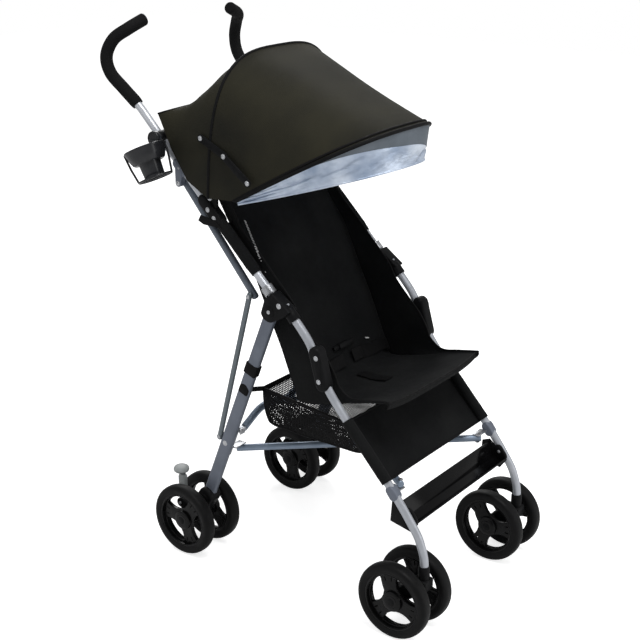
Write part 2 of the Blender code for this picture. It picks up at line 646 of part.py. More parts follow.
def caster(side, s):
    """Trailing fork that turns in the front tube's end."""
    axle = (FRONT_AXLE_Y, WHEEL_R)
    x0, x1 = band(s, FRONT_X - 0.0160, FRONT_X + 0.0160)
    outline = ([(STEM_Y - 0.0125, TUBE_END_Z - 0.0006), (STEM_Y - 0.0125, 0.0960)]
               + arc(axle, 0.0150, 225, 400, 8) + [(STEM_Y + 0.0160, TUBE_END_Z - 0.0006)])
    obj = prism("caster_fork_" + side, outline, x0, x1, 0.003)
    base = world(s * FRONT_X, STEM_Y, TUBE_END_Z - 0.004)
    obj = fuse(obj, drum("stem", base, base + Vector((0, 0, 0.019)), 0.0052))
    reach = FRONT_SPLAY + 0.0122
    obj = fuse(obj, pin("axle", *axle, s * (FRONT_X - reach), s * (FRONT_X + reach), AXLE_R))
    for side_x in (-1, 1):
        xa, xb = sorted((s * (FRONT_X + side_x * (FRONT_SPLAY + 0.0108)), s * (FRONT_X + side_x * reach)))
        obj = fuse(obj, pin("cap", *axle, xa, xb, 0.0085))
    settle(obj, "caster_" + side, PLASTIC)


def wheel_mesh():
    """Plastic wheel with three windows and a rounded tyre, spun about X."""
    half = WHEEL_W / 2
    bore = AXLE_R + GAP
    profile = [(bore, 0.0104), (0.0205, 0.0104), (0.0215, 0.0045), (0.0560, 0.0045), (0.0580, half),
               (0.0690, half), (WHEEL_R, 0.0045)]
    profile += [(r, -h) for r, h in reversed(profile)]
    centre = world(0, 0, 0)
    obj = turned("wheel", profile, centre, Vector((1, 0, 0)), 16)
    for k in range(3):
        start = 20 + 120 * k
        window = arc((0, 0), 0.0520, start, start + 74, 3) + arc((0, 0), 0.0260, start + 66, start + 8, 1)
        obj = cut(obj, prism("window", window, -0.02, 0.02))
    obj.data.transform(Matrix.Translation(-centre))
    mesh = obj.data
    bpy.data.objects.remove(obj, do_unlink=True)
    return mesh


def wheels():
    mesh = wheel_mesh()
    mesh.materials.append(TYRE)
    for poly in mesh.polygons:
        poly.use_smooth = True
    mesh.set_sharp_from_angle(angle=math.radians(35))
    for end in ("front", "rear"):
        for side in SIDES:
            for layer in ("inner", "outer"):
                key = "%s_wheel_%s_%s" % (end, side, layer)
                obj = add(key, mesh)
                obj.parent = PIVOTS[key][0]


def hood_clip(side, s):
    """Clip on the push tube with the pin that both hood bows turn on."""
    c = on_push(0.1925)
    x0, x1 = band(s, 0.1650, 0.1870)
    outline = capsule(toward(c, PUSH_B, -0.024), toward(c, PUSH_B, 0.024), 0.0118)
    obj = prism("hood_clip_" + side, outline, x0, x1, 0.002)
    xa, xb = band(s, 0.1690, 0.1800)
    obj = fuse(obj, prism("ear", capsule(HOOD_PIVOT, on_push(0.1925), 0.0085, 0.0110), xa, xb))
    obj = cut(obj, drum("bore", world(s * PUSH_X, *on_push(0.150)), world(s * PUSH_X, *on_push(0.235)),
                        TUBE_R + GAP))
    xa, xb = band(s, 0.1795, 0.1872)
    obj = fuse(obj, pin("pin", *HOOD_PIVOT, xa, xb, 0.0022, 12))
    settle(obj, "frame_" + side, PLASTIC)


def arch(foot, apex, half_width, power, count=14):
    """Points over the seat from the right foot to the left foot, as (x, y, z)."""
    out = []
    for i in range(count + 1):
        t = math.pi * i / count
        c = math.cos(t)
        h = abs(math.sin(t)) ** (2 / power)
        x = -math.copysign(abs(c) ** (2 / power), c) * half_width
        out.append((x, foot[0] + h * (apex[0] - foot[0]), foot[1] + h * (apex[1] - foot[1])))
    return out


def sheet(name, rows, thickness):
    """A cloth skin lofted through rows of points and given an even thickness inwards."""
    mesh = bpy.data.meshes.new(name)
    verts = [world(*p) for row in rows for p in row]
    n = len(rows[0])
    faces = [(r * n + i, r * n + i + 1, (r + 1) * n + i + 1, (r + 1) * n + i)
             for r in range(len(rows) - 1) for i in range(n - 1)]
    mesh.from_pydata(verts, [], faces)
    obj = add(name, mesh)
    clean(mesh)
    mod = obj.modifiers.new("cloth", "SOLIDIFY")
    mod.thickness = thickness
    mod.offset = 0.0
    mod.use_even_offset = False
    return bake(obj)


def hood():
    """Hood cloth: a fixed rear part and a front part that folds back with its bow."""
    rear_rows = [arch((0.3160, 0.9030), (0.2500, 0.9260), 0.1830, 1.9),
                 arch((0.2750, 0.8400), (0.2230, 0.9600), 0.1860, 2.4),
                 arch((0.2400, 0.7860), (0.1960, 0.9940), 0.1890, 2.9),
                 arch((0.1884, 0.7600), (0.1713, 1.0221), 0.1920, 3.3)]
    settle(sheet("hood_rear", rear_rows, 0.0024), "centre", HOOD)
    front_rows = [arch((0.1870, 0.7600), (0.1696, 1.0227), 0.1920, 3.3),
                  arch((0.1670, 0.7607), (0.0710, 0.9810), 0.1890, 3.1),
                  arch((0.1470, 0.7613), (-0.0280, 0.9400), 0.1860, 2.9),
                  arch((0.1280, 0.7620), (-0.1276, 0.8992), 0.1830, 2.8),
                  arch((0.1270, 0.7590), (-0.1330, 0.8660), 0.1810, 2.4),
                  arch((0.1260, 0.7560), (-0.1367, 0.8335), 0.1800, 2.15)]
    settle(sheet("hood_front", front_rows, 0.0024), "hood", HOOD)


def hood_bow():
    """Front bow: a thin rod from pin to pin, with a flat eye at each foot."""
    pts = arch(HOOD_PIVOT, (-0.1080, 0.8850), 0.1750, 2.9, 12)
    pts[0] = (-0.1843, *HOOD_PIVOT)
    pts[-1] = (0.1843, *HOOD_PIVOT)
    obj = rod("hood_bow", [world(*p) for p in pts], 0.0024, bevel=0)
    for s in (-1, 1):
        xa, xb = band(s, 0.1825, 0.1862)
        obj = fuse(obj, pin("eye", *HOOD_PIVOT, xa, xb, 0.0058))
    for s in (-1, 1):
        xa, xb = band(s, 0.1780, 0.1890)
        obj = cut(obj, pin("hole", *HOOD_PIVOT, xa, xb, 0.0022 + GAP, 12))
    settle(obj, "hood", STEEL)


# Seat: a middle panel, and side panels that wrap the tubes and give when the frame closes
PANEL_X = 0.1020


def seat_panel():
    outline = [(0.2060, 0.7620), (0.1980, 0.7690), (0.1080, 0.6500), (0.0400, 0.5300), (0.0100, 0.4400),
               (-0.0120, 0.4130), (-0.1900, 0.4360), (-0.1990, 0.4280), (-0.1880, 0.4200),
               (0.0000, 0.3960), (0.0200, 0.4100), (0.0480, 0.5250), (0.1180, 0.6430)]
    obj = prism("seat_panel", outline, -PANEL_X, PANEL_X, 0.003)
    settle(obj, "centre", CLOTH)


def seat_side(side, s):
    """Side cloth from the middle panel out to the tubes, with the sleeve round the push tube."""
    x0, x1 = band(s, PANEL_X + 0.0006, 0.1590)
    back = [(0.2030, 0.7580), (0.1960, 0.7640), (0.1070, 0.6490), (0.0390, 0.5290), (0.0090, 0.4400),
            (-0.0130, 0.4140), (-0.1880, 0.4360), (-0.1980, 0.4280), (-0.1880, 0.4200),
            (0.0010, 0.3950), (0.0210, 0.4100), (0.0490, 0.5250), (0.1190, 0.6430)]
    obj = prism("seat_side_" + side, back, x0, x1, 0.002)
    xa, xb = band(s, 0.1560, 0.1592)
    wing = [(0.1750, 0.7050), (0.1000, 0.6500), (-0.0250, 0.5400), (-0.1100, 0.4330), (-0.1080, 0.4020),
            (0.0020, 0.3830), (0.0240, 0.4440), (0.0970, 0.5930), (0.1080, 0.6200)]
    obj = fuse(obj, prism("wing", wing, xa, xb))
    a = on_push(0.0880)
    b = on_push(0.1640)
    sleeve = drum("sleeve", world(s * PUSH_X, *a), world(s * PUSH_X, *b), 0.0105)
    obj = fuse(obj, sleeve)
    xa, xb = band(s, 0.1580, PUSH_X)
    web = [(a[0] + 0.004, a[1] - 0.001), (b[0] - 0.004, b[1] - 0.001), (b[0] - 0.004, b[1] - 0.005),
           (a[0] + 0.004, a[1] - 0.005)]
    obj = fuse(obj, prism("web", web, xa, xb))
    obj = cut(obj, drum("bore", world(s * PUSH_X, *on_push(0.070)), world(s * PUSH_X, *on_push(0.180)),
                        TUBE_R + GAP))
    settle(obj, "frame_" + side, CLOTH)


def calf_panel():
    """Cloth behind the child's calves, sewn round both front tubes."""
    top = on_front(0.3835)
    low = on_front(0.2880)
    down = math.atan2(low[1] - top[1], low[0] - top[0])
    off = Vector((-math.sin(down), math.cos(down)))
    outline = [(p[0] + off.x * d, p[1] + off.y * d)
               for p, d in ((top, 0.0105), (top, 0.0093), (low, 0.0093), (low, 0.0105))]
    half = FRONT_X - 0.0013
    obj = prism("calf_panel", outline, -half, half)
    for s in (-1, 1):
        obj = fuse(obj, drum("sleeve", world(s * FRONT_X, *top), world(s * FRONT_X, *low), 0.0112))
    for s in (-1, 1):
        obj = cut(obj, front_bore(s, 0.430, 0.270))
    settle(obj, "centre", CLOTH)


def basket():
    """Mesh basket under the seat, open at the top."""
    wall = 0.0025
    outer = [(0.1040, 0.3800), (0.0980, 0.2920), (-0.1350, 0.2920), (-0.1150, 0.3550)]
    inner = [(0.1040 - wall, 0.40), (0.0980 - wall, 0.2920 + wall), (-0.1350 + wall * 1.6, 0.2920 + wall),
             (-0.1150 + wall * 1.2, 0.40)]
    obj = prism("basket", outer, -0.1400, 0.1400)
    obj = cut(obj, prism("room", inner, -0.1400 + wall, 0.1400 - wall))
    back = on_leg(0.3780)[0] - LEG_DEPTH / 2 / 0.9293 - 0.0004
    for s in (-1, 1):
        xa, xb = band(s, 0.1385, 0.1770)
        obj = fuse(obj, box("hanger", (xa, 0.1012, 0.3660), (xb, back, 0.3780)))
    settle(obj, "centre", MESH)


def footrest_band():
    outline = [(-0.2365, 0.2490), (-0.2460, 0.2170), (-0.2620, 0.2120), (-0.2735, 0.2210),
               (-0.2755, 0.2185), (-0.2640, 0.2080), (-0.2440, 0.2125), (-0.2330, 0.2480)]
    half = FRONT_X - TUBE_R - 0.0033
    obj = prism("footrest_band", outline, -half, half)
    settle(obj, "centre", GLOSS)


def lap_buckle():
    """Belt buckle that lies against the foot of the seat back."""
    foot = (0.0130, 0.4490)
    up = Vector((0.0300, 0.0900)).normalized()
    out = Vector((-up.y, up.x))
    corners = ((0.0, 0.0004), (0.0, 0.0104), (0.0400, 0.0104), (0.0400, 0.0004))
    outline = [(foot[0] + up.x * a + out.x * b, foot[1] + up.y * a + out.y * b) for a, b in corners]
    obj = prism("lap_buckle", outline, -0.0165, 0.0165)
    settle(obj, "centre", PLASTIC)


# Cup holder on the right push tube
CUP_CLAMP = on_push(0.3170)
CUP_AXIS = Vector((0, math.sin(math.radians(26)), math.cos(math.radians(26))))
CUP_TOP = world(-0.2360, 0.3040, 0.8480)


def cup_clamp():
    x0, x1 = -0.1880, -0.1645
    obj = prism("cup_clamp", arc(CUP_CLAMP, 0.0135, 0, 360, 16)[:-1], x0, x1, 0.002)
    base = world(-PUSH_X, *on_push(0.290))
    obj = cut(obj, drum("bore", base, world(-PUSH_X, *on_push(0.345)), TUBE_R + GAP))
    obj = fuse(obj, pin("stud", *CUP_CLAMP, -0.1935, -0.1870, 0.0035))
    settle(obj, "frame_right", PLASTIC)


def cup_holder():
    """Open-sided cup on a round pivot disc; it can be turned level on the clamp."""
    profile = [(0.0, -0.0600), (0.0310, -0.0600), (0.0330, -0.0570), (0.0385, -0.0020), (0.0400, 0.0),
               (0.0372, 0.0), (0.0308, -0.0560), (0.0295, -0.0575), (0.0, -0.0575)]
    obj = turned("cup_holder", list(reversed(profile)), CUP_TOP, CUP_AXIS, 22)
    disc = pin("disc", *CUP_CLAMP, -0.1990, -0.1886, 0.0145, 20)
    arm = box("arm", (-0.2040, CUP_CLAMP[0] - 0.0100, CUP_CLAMP[1] - 0.0250),
              (-0.1965, CUP_CLAMP[0] + 0.0060, CUP_CLAMP[1] + 0.0000))
    disc = fuse(disc, arm)
    room = turned("room", [(0.0, 0.02), (0.0385, 0.02), (0.0375, 0.0), (0.0320, -0.0560), (0.0, -0.0560)],
                  CUP_TOP, CUP_AXIS, 22)
    disc = cut(disc, room)
    disc = cut(disc, pin("socket", *CUP_CLAMP, -0.1942, -0.1800, 0.0035 + GAP))
    obj = fuse(obj, disc)
    settle(obj, "cup", GLOSS)


# Hood struts: two links a side that fold as the front bow goes back
STRUT_REAR = (0.2015, 0.8720)
STRUT_MID = (0.1440, 0.8460)
STRUT_FRONT = (0.0885, 0.8040)


def struts(side, s):
    xa, xb = band(s, 0.1911, 0.1936)
    rear = prism("strut_rear_" + side, capsule(STRUT_REAR, STRUT_MID, 0.0070), xa, xb)
    rear = fuse(rear, pin("knee", *STRUT_MID, *band(s, 0.1926, 0.1969), 0.0020, 10))
    settle(rear, "strut_rear_" + side, PLASTIC)
    xa, xb = band(s, 0.1939, 0.1964)
    front = prism("strut_front_" + side, capsule(STRUT_MID, STRUT_FRONT, 0.0070), xa, xb)
    front = cut(front, pin("hole", *STRUT_MID, *band(s, 0.19, 0.21), 0.0020 + GAP, 10))
    settle(front, "strut_front_" + side, PLASTIC)


body("cup", world(-0.1940, *CUP_CLAMP), "frame_right")
for SIDE, S in SIDES.items():
    body("strut_rear_" + SIDE, world(S * 0.1923, *STRUT_REAR), "frame_" + SIDE)
    body("strut_front_" + SIDE, world(S * 0.1951, *STRUT_MID), "strut_rear_" + SIDE)

for SIDE, S in SIDES.items():
    for build in (handle, front_tube, knuckle, collar, side_clip, link_plate, side_link, leg_stay, rear_leg,
                  brace_half, bar_bracket, cross_bar, footrest_bracket, axle_housing,
                  brake_lever, caster, hood_clip, seat_side, struts):
        build(SIDE, S)
wheels()
for build in (seat_panel, calf_panel, basket, footrest_band, lap_buckle, cup_clamp, cup_holder,
              hood, hood_bow):
    build()
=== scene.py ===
# %% [markdown]
# # Dressing a lightweight stroller
# The rigid model gives every piece its place. This lesson rebuilds the pieces that are seen as smooth
# tubes, moulded plastic, net and cloth, gives each finish its own nodes, and hangs most pieces on the
# bodies that move, so that they follow when the stroller folds; the hood's cloth and the visor stay
# unattached.

import json
import math

import bpy
from mathutils import Matrix, Vector, noise

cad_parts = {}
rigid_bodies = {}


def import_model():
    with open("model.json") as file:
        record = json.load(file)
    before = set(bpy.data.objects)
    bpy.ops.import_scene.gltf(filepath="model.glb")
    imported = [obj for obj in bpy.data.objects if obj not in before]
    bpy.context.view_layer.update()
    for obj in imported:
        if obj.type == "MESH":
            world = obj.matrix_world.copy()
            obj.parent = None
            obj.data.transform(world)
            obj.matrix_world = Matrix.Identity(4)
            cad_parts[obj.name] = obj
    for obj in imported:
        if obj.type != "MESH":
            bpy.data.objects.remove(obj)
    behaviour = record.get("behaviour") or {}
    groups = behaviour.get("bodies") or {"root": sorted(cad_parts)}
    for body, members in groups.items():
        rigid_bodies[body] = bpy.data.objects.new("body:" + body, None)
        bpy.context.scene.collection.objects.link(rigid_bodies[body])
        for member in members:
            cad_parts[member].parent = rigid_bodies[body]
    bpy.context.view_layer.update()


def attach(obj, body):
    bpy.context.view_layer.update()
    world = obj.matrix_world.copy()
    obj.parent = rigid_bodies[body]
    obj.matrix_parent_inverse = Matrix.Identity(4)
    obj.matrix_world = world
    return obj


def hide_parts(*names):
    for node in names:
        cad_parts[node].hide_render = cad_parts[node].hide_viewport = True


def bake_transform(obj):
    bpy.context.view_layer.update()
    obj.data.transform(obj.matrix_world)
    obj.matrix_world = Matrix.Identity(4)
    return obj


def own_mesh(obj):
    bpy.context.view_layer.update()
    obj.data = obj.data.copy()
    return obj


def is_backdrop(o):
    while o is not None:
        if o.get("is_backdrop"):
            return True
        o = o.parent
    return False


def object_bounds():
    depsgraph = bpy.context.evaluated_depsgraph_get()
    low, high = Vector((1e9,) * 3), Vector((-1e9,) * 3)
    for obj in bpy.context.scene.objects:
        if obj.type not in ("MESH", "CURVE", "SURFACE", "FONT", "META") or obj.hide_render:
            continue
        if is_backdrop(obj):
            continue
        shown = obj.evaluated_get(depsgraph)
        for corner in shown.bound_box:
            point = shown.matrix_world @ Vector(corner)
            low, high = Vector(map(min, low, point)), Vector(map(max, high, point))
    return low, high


bpy.ops.object.select_all(action="SELECT")
bpy.ops.object.delete()
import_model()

# %% [markdown]
# ## Where things are
# The stroller faces -Y and stands on Z = 0. All its measures below are taken from the middle of the
# rear and front axles, so one small function moves a point into the frame. Three more walk along the
# push tube, the front tube and the rear leg, because most of the fittings are clamped on them.

# %% The main lines of the frame
MID_X = 0.0229
MID_Y = -0.0605
SIDES = (("right", -1), ("left", 1))
TUBE_R = 0.0080
GRIP_R = 0.0122
PUSH_X = 0.1760
FRONT_X = 0.1745
REAR_X = 0.1780
WHEEL_R = 0.075
FRONT_AXLE = (-0.2570, WHEEL_R)
REAR_AXLE = (0.2572, WHEEL_R)
FRONT_SPLAY = 0.0368
REAR_SPLAY = 0.0387
PUSH_A = (0.0450, 0.5888)
PUSH_B = (0.3690, 0.9080)
LEG_PIVOT = (0.0480, 0.5645)
LEG_FOOT = (0.2290, 0.1090)
LINK_TOP = (0.2680, 0.7760)
LINK_LOW = (0.1020, 0.5820)
STAY_LOW = (0.1860, 0.2700)
HOOD_PIVOT = (0.1900, 0.7600)
BRACE_PIVOT = (0.1485, 0.2860)
BRAKE_PIVOT = (0.2950, 0.0880)
STEM_Y = -0.2975
TUBE_END = 0.1180
FRONT_LINE = [(0.0200, 0.5790), (-0.0300, 0.5255), (-0.0480, 0.4930), (-0.0760, 0.4400),
              (-0.1215, 0.3850), (-0.2150, 0.2850), (-0.2740, 0.2100), (-0.2900, 0.1790),
              (-0.2970, 0.1520), (STEM_Y, TUBE_END)]
print("wheelbase", round(REAR_AXLE[0] - FRONT_AXLE[0], 4), "front track", 2 * FRONT_X)

# %% Points along the frame
def at(x, y, z):
    """A point measured from the axles' middle, in the frame."""
    return Vector((x + MID_X, y + MID_Y, z))


def on_push(y):
    """The push tube's centre at y."""
    slope = (PUSH_B[1] - PUSH_A[1]) / (PUSH_B[0] - PUSH_A[0])
    return (y, PUSH_A[1] + (y - PUSH_A[0]) * slope)


def on_front(z):
    """The front tube's centre at height z."""
    for (y0, z0), (y1, z1) in zip(FRONT_LINE, FRONT_LINE[1:]):
        if z1 <= z <= z0:
            return (y0 + (y1 - y0) * (z0 - z) / (z0 - z1), z)
    return FRONT_LINE[0]


def on_leg(z):
    """The rear leg's centre at height z."""
    t = (LEG_PIVOT[1] - z) / (LEG_PIVOT[1] - LEG_FOOT[1])
    return (LEG_PIVOT[0] + t * (LEG_FOOT[0] - LEG_PIVOT[0]), z)


PUSH_DIR = Vector((0, PUSH_B[0] - PUSH_A[0], PUSH_B[1] - PUSH_A[1])).normalized()
print("push tube leans", round(math.degrees(math.asin(PUSH_DIR.z)), 1), "degrees")

# %% [markdown]
# ## Small tools
# An operator works on whatever is selected, so every step begins with nothing selected. A finished
# piece has its place baked into its mesh, takes a material, and is handed to a body.

# %% Selecting and editing
MERGE = 0.00002


def free_hands():
    """Leave edit mode and select nothing."""
    if bpy.context.object and bpy.context.object.mode != "OBJECT":
        bpy.ops.object.mode_set(mode="OBJECT")
    bpy.ops.object.select_all(action="DESELECT")


def take(obj):
    """Select one object alone and make it active."""
    free_hands()
    obj.select_set(True)
    bpy.context.view_layer.objects.active = obj
    return obj


def edit(obj, *steps):
    """Run edit-mode steps on the whole of a mesh."""
    take(obj)
    bpy.ops.object.mode_set(mode="EDIT")
    for step in steps:
        bpy.ops.mesh.select_all(action="SELECT")
        step()
    bpy.ops.object.mode_set(mode="OBJECT")
    return obj


def tidy_normals():
    """Merge doubles, then turn every face outwards."""
    bpy.ops.mesh.remove_doubles(threshold=MERGE)
    bpy.ops.mesh.select_all(action="SELECT")
    bpy.ops.mesh.normals_make_consistent(inside=False)


print("doubles closer than", MERGE, "m are merged")

# %% Modifiers, smooth shading, finish and joining
def apply_all(obj):
    """Apply every modifier of a piece."""
    take(obj)
    for mod in list(obj.modifiers):
        bpy.ops.object.modifier_apply(modifier=mod.name)
    return obj


def soften(obj, angle=38):
    """Shade smooth, but leave edges sharper than the angle crisp."""
    take(obj)
    bpy.ops.object.shade_smooth_by_angle(angle=math.radians(angle))
    return obj


def bevel(obj, width, segments):
    """Round the edges of a plate."""
    mod = obj.modifiers.new("edge", "BEVEL")
    mod.width = width
    mod.segments = segments
    mod.limit_method = "ANGLE"
    mod.angle_limit = math.radians(30)
    return apply_all(obj)


def paint(obj, material):
    """Give a piece one finish."""
    obj.data.materials.clear()
    obj.data.materials.append(material)
    return obj


def joined(objs):
    """Join meshes into the first one."""
    take(objs[0])
    for obj in objs[1:]:
        obj.select_set(True)
    if len(objs) > 1:
        bpy.ops.object.join()
    return bpy.context.object


def copied(obj):
    """A copy with its own mesh."""
    take(obj)
    bpy.ops.object.duplicate(linked=False)
    return bpy.context.object


print("finishing tools ready")

# %% Handing a piece to its body
def settle(obj, name, body, replaces=()):
    """Bake the place into the mesh, name the piece and hand it to its body; given two bodies, it stays
    unattached.
    """
    take(obj)
    bpy.ops.object.transform_apply(location=True, rotation=True, scale=True)
    obj.name = name
    obj.data.name = name
    if isinstance(body, tuple):
        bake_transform(obj)
    else:
        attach(obj, body)
    if replaces:
        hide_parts(*replaces)
    print("  %s: %d faces" % (name, len(obj.data.polygons)))
    return obj


def fit(side, pieces, name, body, node=None):
    """Join the pieces of one side and settle them; piece, body and node names end in the side."""
    end = "_" + side
    return settle(joined(pieces), name + end, body + end, [node + end] if node else ())


print("pieces can be handed over")

# %% [markdown]
# ## Four ways to make a shape
# Round tubes and hems are curves with a round bevel, turned into meshes. Mouldings and stamped parts
# are outlines in the side view, extruded sideways and given rounded edges, because nearly all of them
# are flat parts on a tube. Rings, pins and cups are spun from a profile. Cloth is a grid laid through
# rows of points and given a wall, because every sheet here is pulled between lines that are known.

# %% Round bars
def flow(points, per=6):
    """A smooth run of points through the given ones."""
    pts = [Vector(p) for p in points]
    ends = [pts[0] * 2 - pts[1]] + pts + [pts[-1] * 2 - pts[-2]]
    out = []
    for a, b, c, d in zip(ends, ends[1:], ends[2:], ends[3:]):
        for k in range(per):
            t = k / per
            out.append(0.5 * ((2 * b) + (c - a) * t + (2 * a - 5 * b + 4 * c - d) * t * t
                              + (3 * b - a - 3 * c + d) * t ** 3))
    return out + [pts[-1]]


def pipe(points, radius, material, roundness, cyclic=False, radii=None):
    """A round bar along points, made as a bevelled curve and turned into a mesh."""
    free_hands()
    bpy.ops.curve.primitive_nurbs_path_add(location=(0, 0, 0))
    obj = bpy.context.object
    curve = obj.data
    curve.splines.clear()
    spline = curve.splines.new("POLY")
    spline.points.add(len(points) - 1)
    for i, p in enumerate(points):
        spline.points[i].co = (p[0], p[1], p[2], 1)
        spline.points[i].radius = radii[i] if radii else 1.0
    spline.use_cyclic_u = cyclic
    curve.dimensions = "3D"
    curve.bevel_depth = radius
    curve.bevel_resolution = roundness
    curve.use_fill_caps = not cyclic
    take(obj)
    bpy.ops.object.convert(target="MESH")
    obj = bpy.context.object
    edit(obj, tidy_normals)
    return paint(soften(obj), material)


print("round bars ready")

# %% Plates, from outlines in the side view
def plate(outline, x0, x1, edge, material, segments=3):
    """A flat piece in the side view, from x0 to x1, with rounded edges."""
    free_hands()
    bpy.ops.mesh.primitive_circle_add(vertices=len(outline), radius=0.1, fill_type="NGON")
    obj = bpy.context.object
    for vert, (y, z) in zip(obj.data.vertices, outline):
        vert.co = at(x0, y, z)
    obj.data.update()
    edit(obj, lambda: bpy.ops.mesh.extrude_region_move(
        TRANSFORM_OT_translate={"value": (x1 - x0, 0, 0)}), tidy_normals)
    if edge:
        bevel(obj, edge, segments)
    return paint(soften(obj), material)


def arc(centre, radius, start, end, steps):
    """Points of an arc in the side view, angles in degrees."""
    out = []
    for i in range(steps + 1):
        a = math.radians(start + (end - start) * i / steps)
        out.append((centre[0] + radius * math.cos(a), centre[1] + radius * math.sin(a)))
    return out


def capsule(p, q, rp, rq=None, steps=10):
    """Round-ended outline round the line from p to q."""
    rq = rp if rq is None else rq
    heading = math.degrees(math.atan2(q[1] - p[1], q[0] - p[0]))
    return arc(p, rp, heading + 90, heading + 270, steps) + arc(q, rq, heading - 90, heading + 90, steps)


def toward(p, q, distance):
    """The point at a distance from p on the way to q."""
    length = math.hypot(q[0] - p[0], q[1] - p[1])
    return (p[0] + (q[0] - p[0]) * distance / length, p[1] + (q[1] - p[1]) * distance / length)


def rectangle(y0, y1, z0, z1):
    """Corners of a box in the side view."""
    return [(y0, z0), (y1, z0), (y1, z1), (y0, z1)]


def disc(centre, radius, x0, x1, edge, material, segments=2, steps=35):
    """A round plate with rounded edges."""
    return plate(arc(centre, radius, 0, 350, steps), x0, x1, edge, material, segments)


print("plates ready")

# %% Turned pieces
def turned(profile, centre, axis, material, steps=48, angle=38):
    """Spin a profile of (radius, height) pairs round an axis."""
    axis = Vector(axis).normalized()
    side = axis.orthogonal().normalized()
    centre = Vector(centre)
    points = [centre + side * r + axis * h for r, h in profile]
    mesh = bpy.data.meshes.new("turned")
    mesh.from_pydata(points, [(i, i + 1) for i in range(len(points) - 1)], [])
    obj = bpy.data.objects.new("turned", mesh)
    bpy.context.scene.collection.objects.link(obj)
    edit(obj, lambda: bpy.ops.mesh.spin(steps=steps, angle=2 * math.pi, center=centre, axis=axis),
         tidy_normals)
    return paint(soften(obj, angle), material)


def ring_of(profile, centre, axis, material, steps=48, angle=38):
    """A turned piece whose profile runs back to its first point."""
    return turned(profile + [profile[0]], centre, axis, material, steps, angle)


print("turned pieces ready")

# %% Lofted cloth
def loft(rows, material, thickness=0.0):
    """A grid laid through rows of points, with a wall if thickness is given."""
    free_hands()
    bpy.ops.mesh.primitive_grid_add(x_subdivisions=len(rows[0]) - 1, y_subdivisions=len(rows) - 1, size=1)
    obj = bpy.context.object
    points = [p for row in rows for p in row]
    for vert, p in zip(obj.data.vertices, points):
        vert.co = p
    obj.data.update()
    if thickness:
        mod = obj.modifiers.new("wall", "SOLIDIFY")
        mod.thickness = thickness
        mod.offset = 0.0
    apply_all(obj)
    return paint(soften(obj, 60), material)


def size_of(rows):
    """Length across and along a lofted cloth, and its area."""
    across = sum((a - b).length for a, b in zip(rows[0], rows[0][1:]))
    middle = len(rows[0]) // 2
    along = sum((a[middle] - b[middle]).length for a, b in zip(rows, rows[1:]))
    area = 0.0
    for r0, r1 in zip(rows, rows[1:]):
        for a, b, c, d in zip(r0, r0[1:], r1[1:], r1):
            area += (c - a).cross(d - b).length / 2
    return round(across, 3), round(along, 3), round(area, 4)


print("lofts ready")

# %% [markdown]
# ## Finishes
# Every finish starts from one shader. Noise in object coordinates varies its colour and roughness a
# little, and a finer noise or a woven pattern drives its bump, so that nothing is one flat colour.
# The patterns are sized in metres: a weave is about a millimetre, a cast grain half of that.

# %% A node tree in a few lines
def add(tree, kind, **values):
    """A new node with some inputs set; a _ in an input's name stands for a space."""
    node = tree.nodes.new("ShaderNode" + kind)
    for name, value in values.items():
        node.inputs[name.replace("_", " ")].default_value = value
    return node


def blank(name, roughness, metallic=0.0, sheen=0.0, specular=0.5):
    """A new material, its nodes and its shader."""
    material = bpy.data.materials.new(name)
    material.use_nodes = True
    shader = material.node_tree.nodes["Principled BSDF"]
    for socket, value in (("Roughness", roughness), ("Metallic", metallic), ("Sheen Weight", sheen),
                          ("Sheen Roughness", 0.45), ("Specular IOR Level", specular)):
        shader.inputs[socket].default_value = value
    return material, material.node_tree, shader


def noise_node(tree, scale, detail=3.0, stretch=(1, 1, 1)):
    """Noise in object coordinates."""
    mapping = add(tree, "Mapping", Scale=stretch)
    texture = add(tree, "TexNoise", Scale=scale, Detail=detail)
    tree.links.new(add(tree, "TexCoord").outputs["Object"], mapping.inputs["Vector"])
    tree.links.new(mapping.outputs["Vector"], texture.inputs["Vector"])
    return texture.outputs["Fac"]


def spread(tree, value, low, high):
    """Stretch the middle of a noise over the range from low to high."""
    ramp = add(tree, "MapRange", From_Min=0.3, From_Max=0.7, To_Min=low, To_Max=high)
    tree.links.new(value, ramp.inputs["Value"])
    return ramp.outputs["Result"]


def two_tone(tree, shader, value, dark, light):
    """Mix two close colours by a value."""
    mix = tree.nodes.new("ShaderNodeMix")
    mix.data_type = "RGBA"
    mix.inputs["A"].default_value = (*dark, 1)
    mix.inputs["B"].default_value = (*light, 1)
    tree.links.new(value, mix.inputs["Factor"])
    tree.links.new(mix.outputs["Result"], shader.inputs["Base Color"])


def bumped(tree, shader, value, strength, distance, normal=None):
    """Drive a bump by a value, on top of another bump if one is given."""
    bump = add(tree, "Bump", Strength=strength, Distance=distance)
    tree.links.new(value, bump.inputs["Height"])
    if normal:
        tree.links.new(normal, bump.inputs["Normal"])
    tree.links.new(bump.outputs["Normal"], shader.inputs["Normal"])
    return bump.outputs["Normal"]


print("node helpers ready")

# %% [markdown]
# ## Paint, metal and plastic
# The tubes wear pale or dark grey paint, the pins are zinc plated and the mouldings are black plastic,
# some matt and some glossy. All are the same few nodes with other values: two close tones and a
# roughness that wanders with them, and a grain. The blacks get little specular, as they look very dark.

# %% Painted and moulded finishes
def painted(name, dark, light, roughness, metallic, patch=30, grain=700, grit=0.10, specular=0.5):
    """A faint mottle in colour and roughness, and a fine grain."""
    material, tree, shader = blank(name, roughness, metallic, 0.0, specular)
    mottle = noise_node(tree, patch)
    two_tone(tree, shader, spread(tree, mottle, 0, 1), dark, light)
    tree.links.new(spread(tree, mottle, roughness * 0.8, roughness * 1.25), shader.inputs["Roughness"])
    bumped(tree, shader, noise_node(tree, grain, 2.0), grit, 0.0006)
    return material


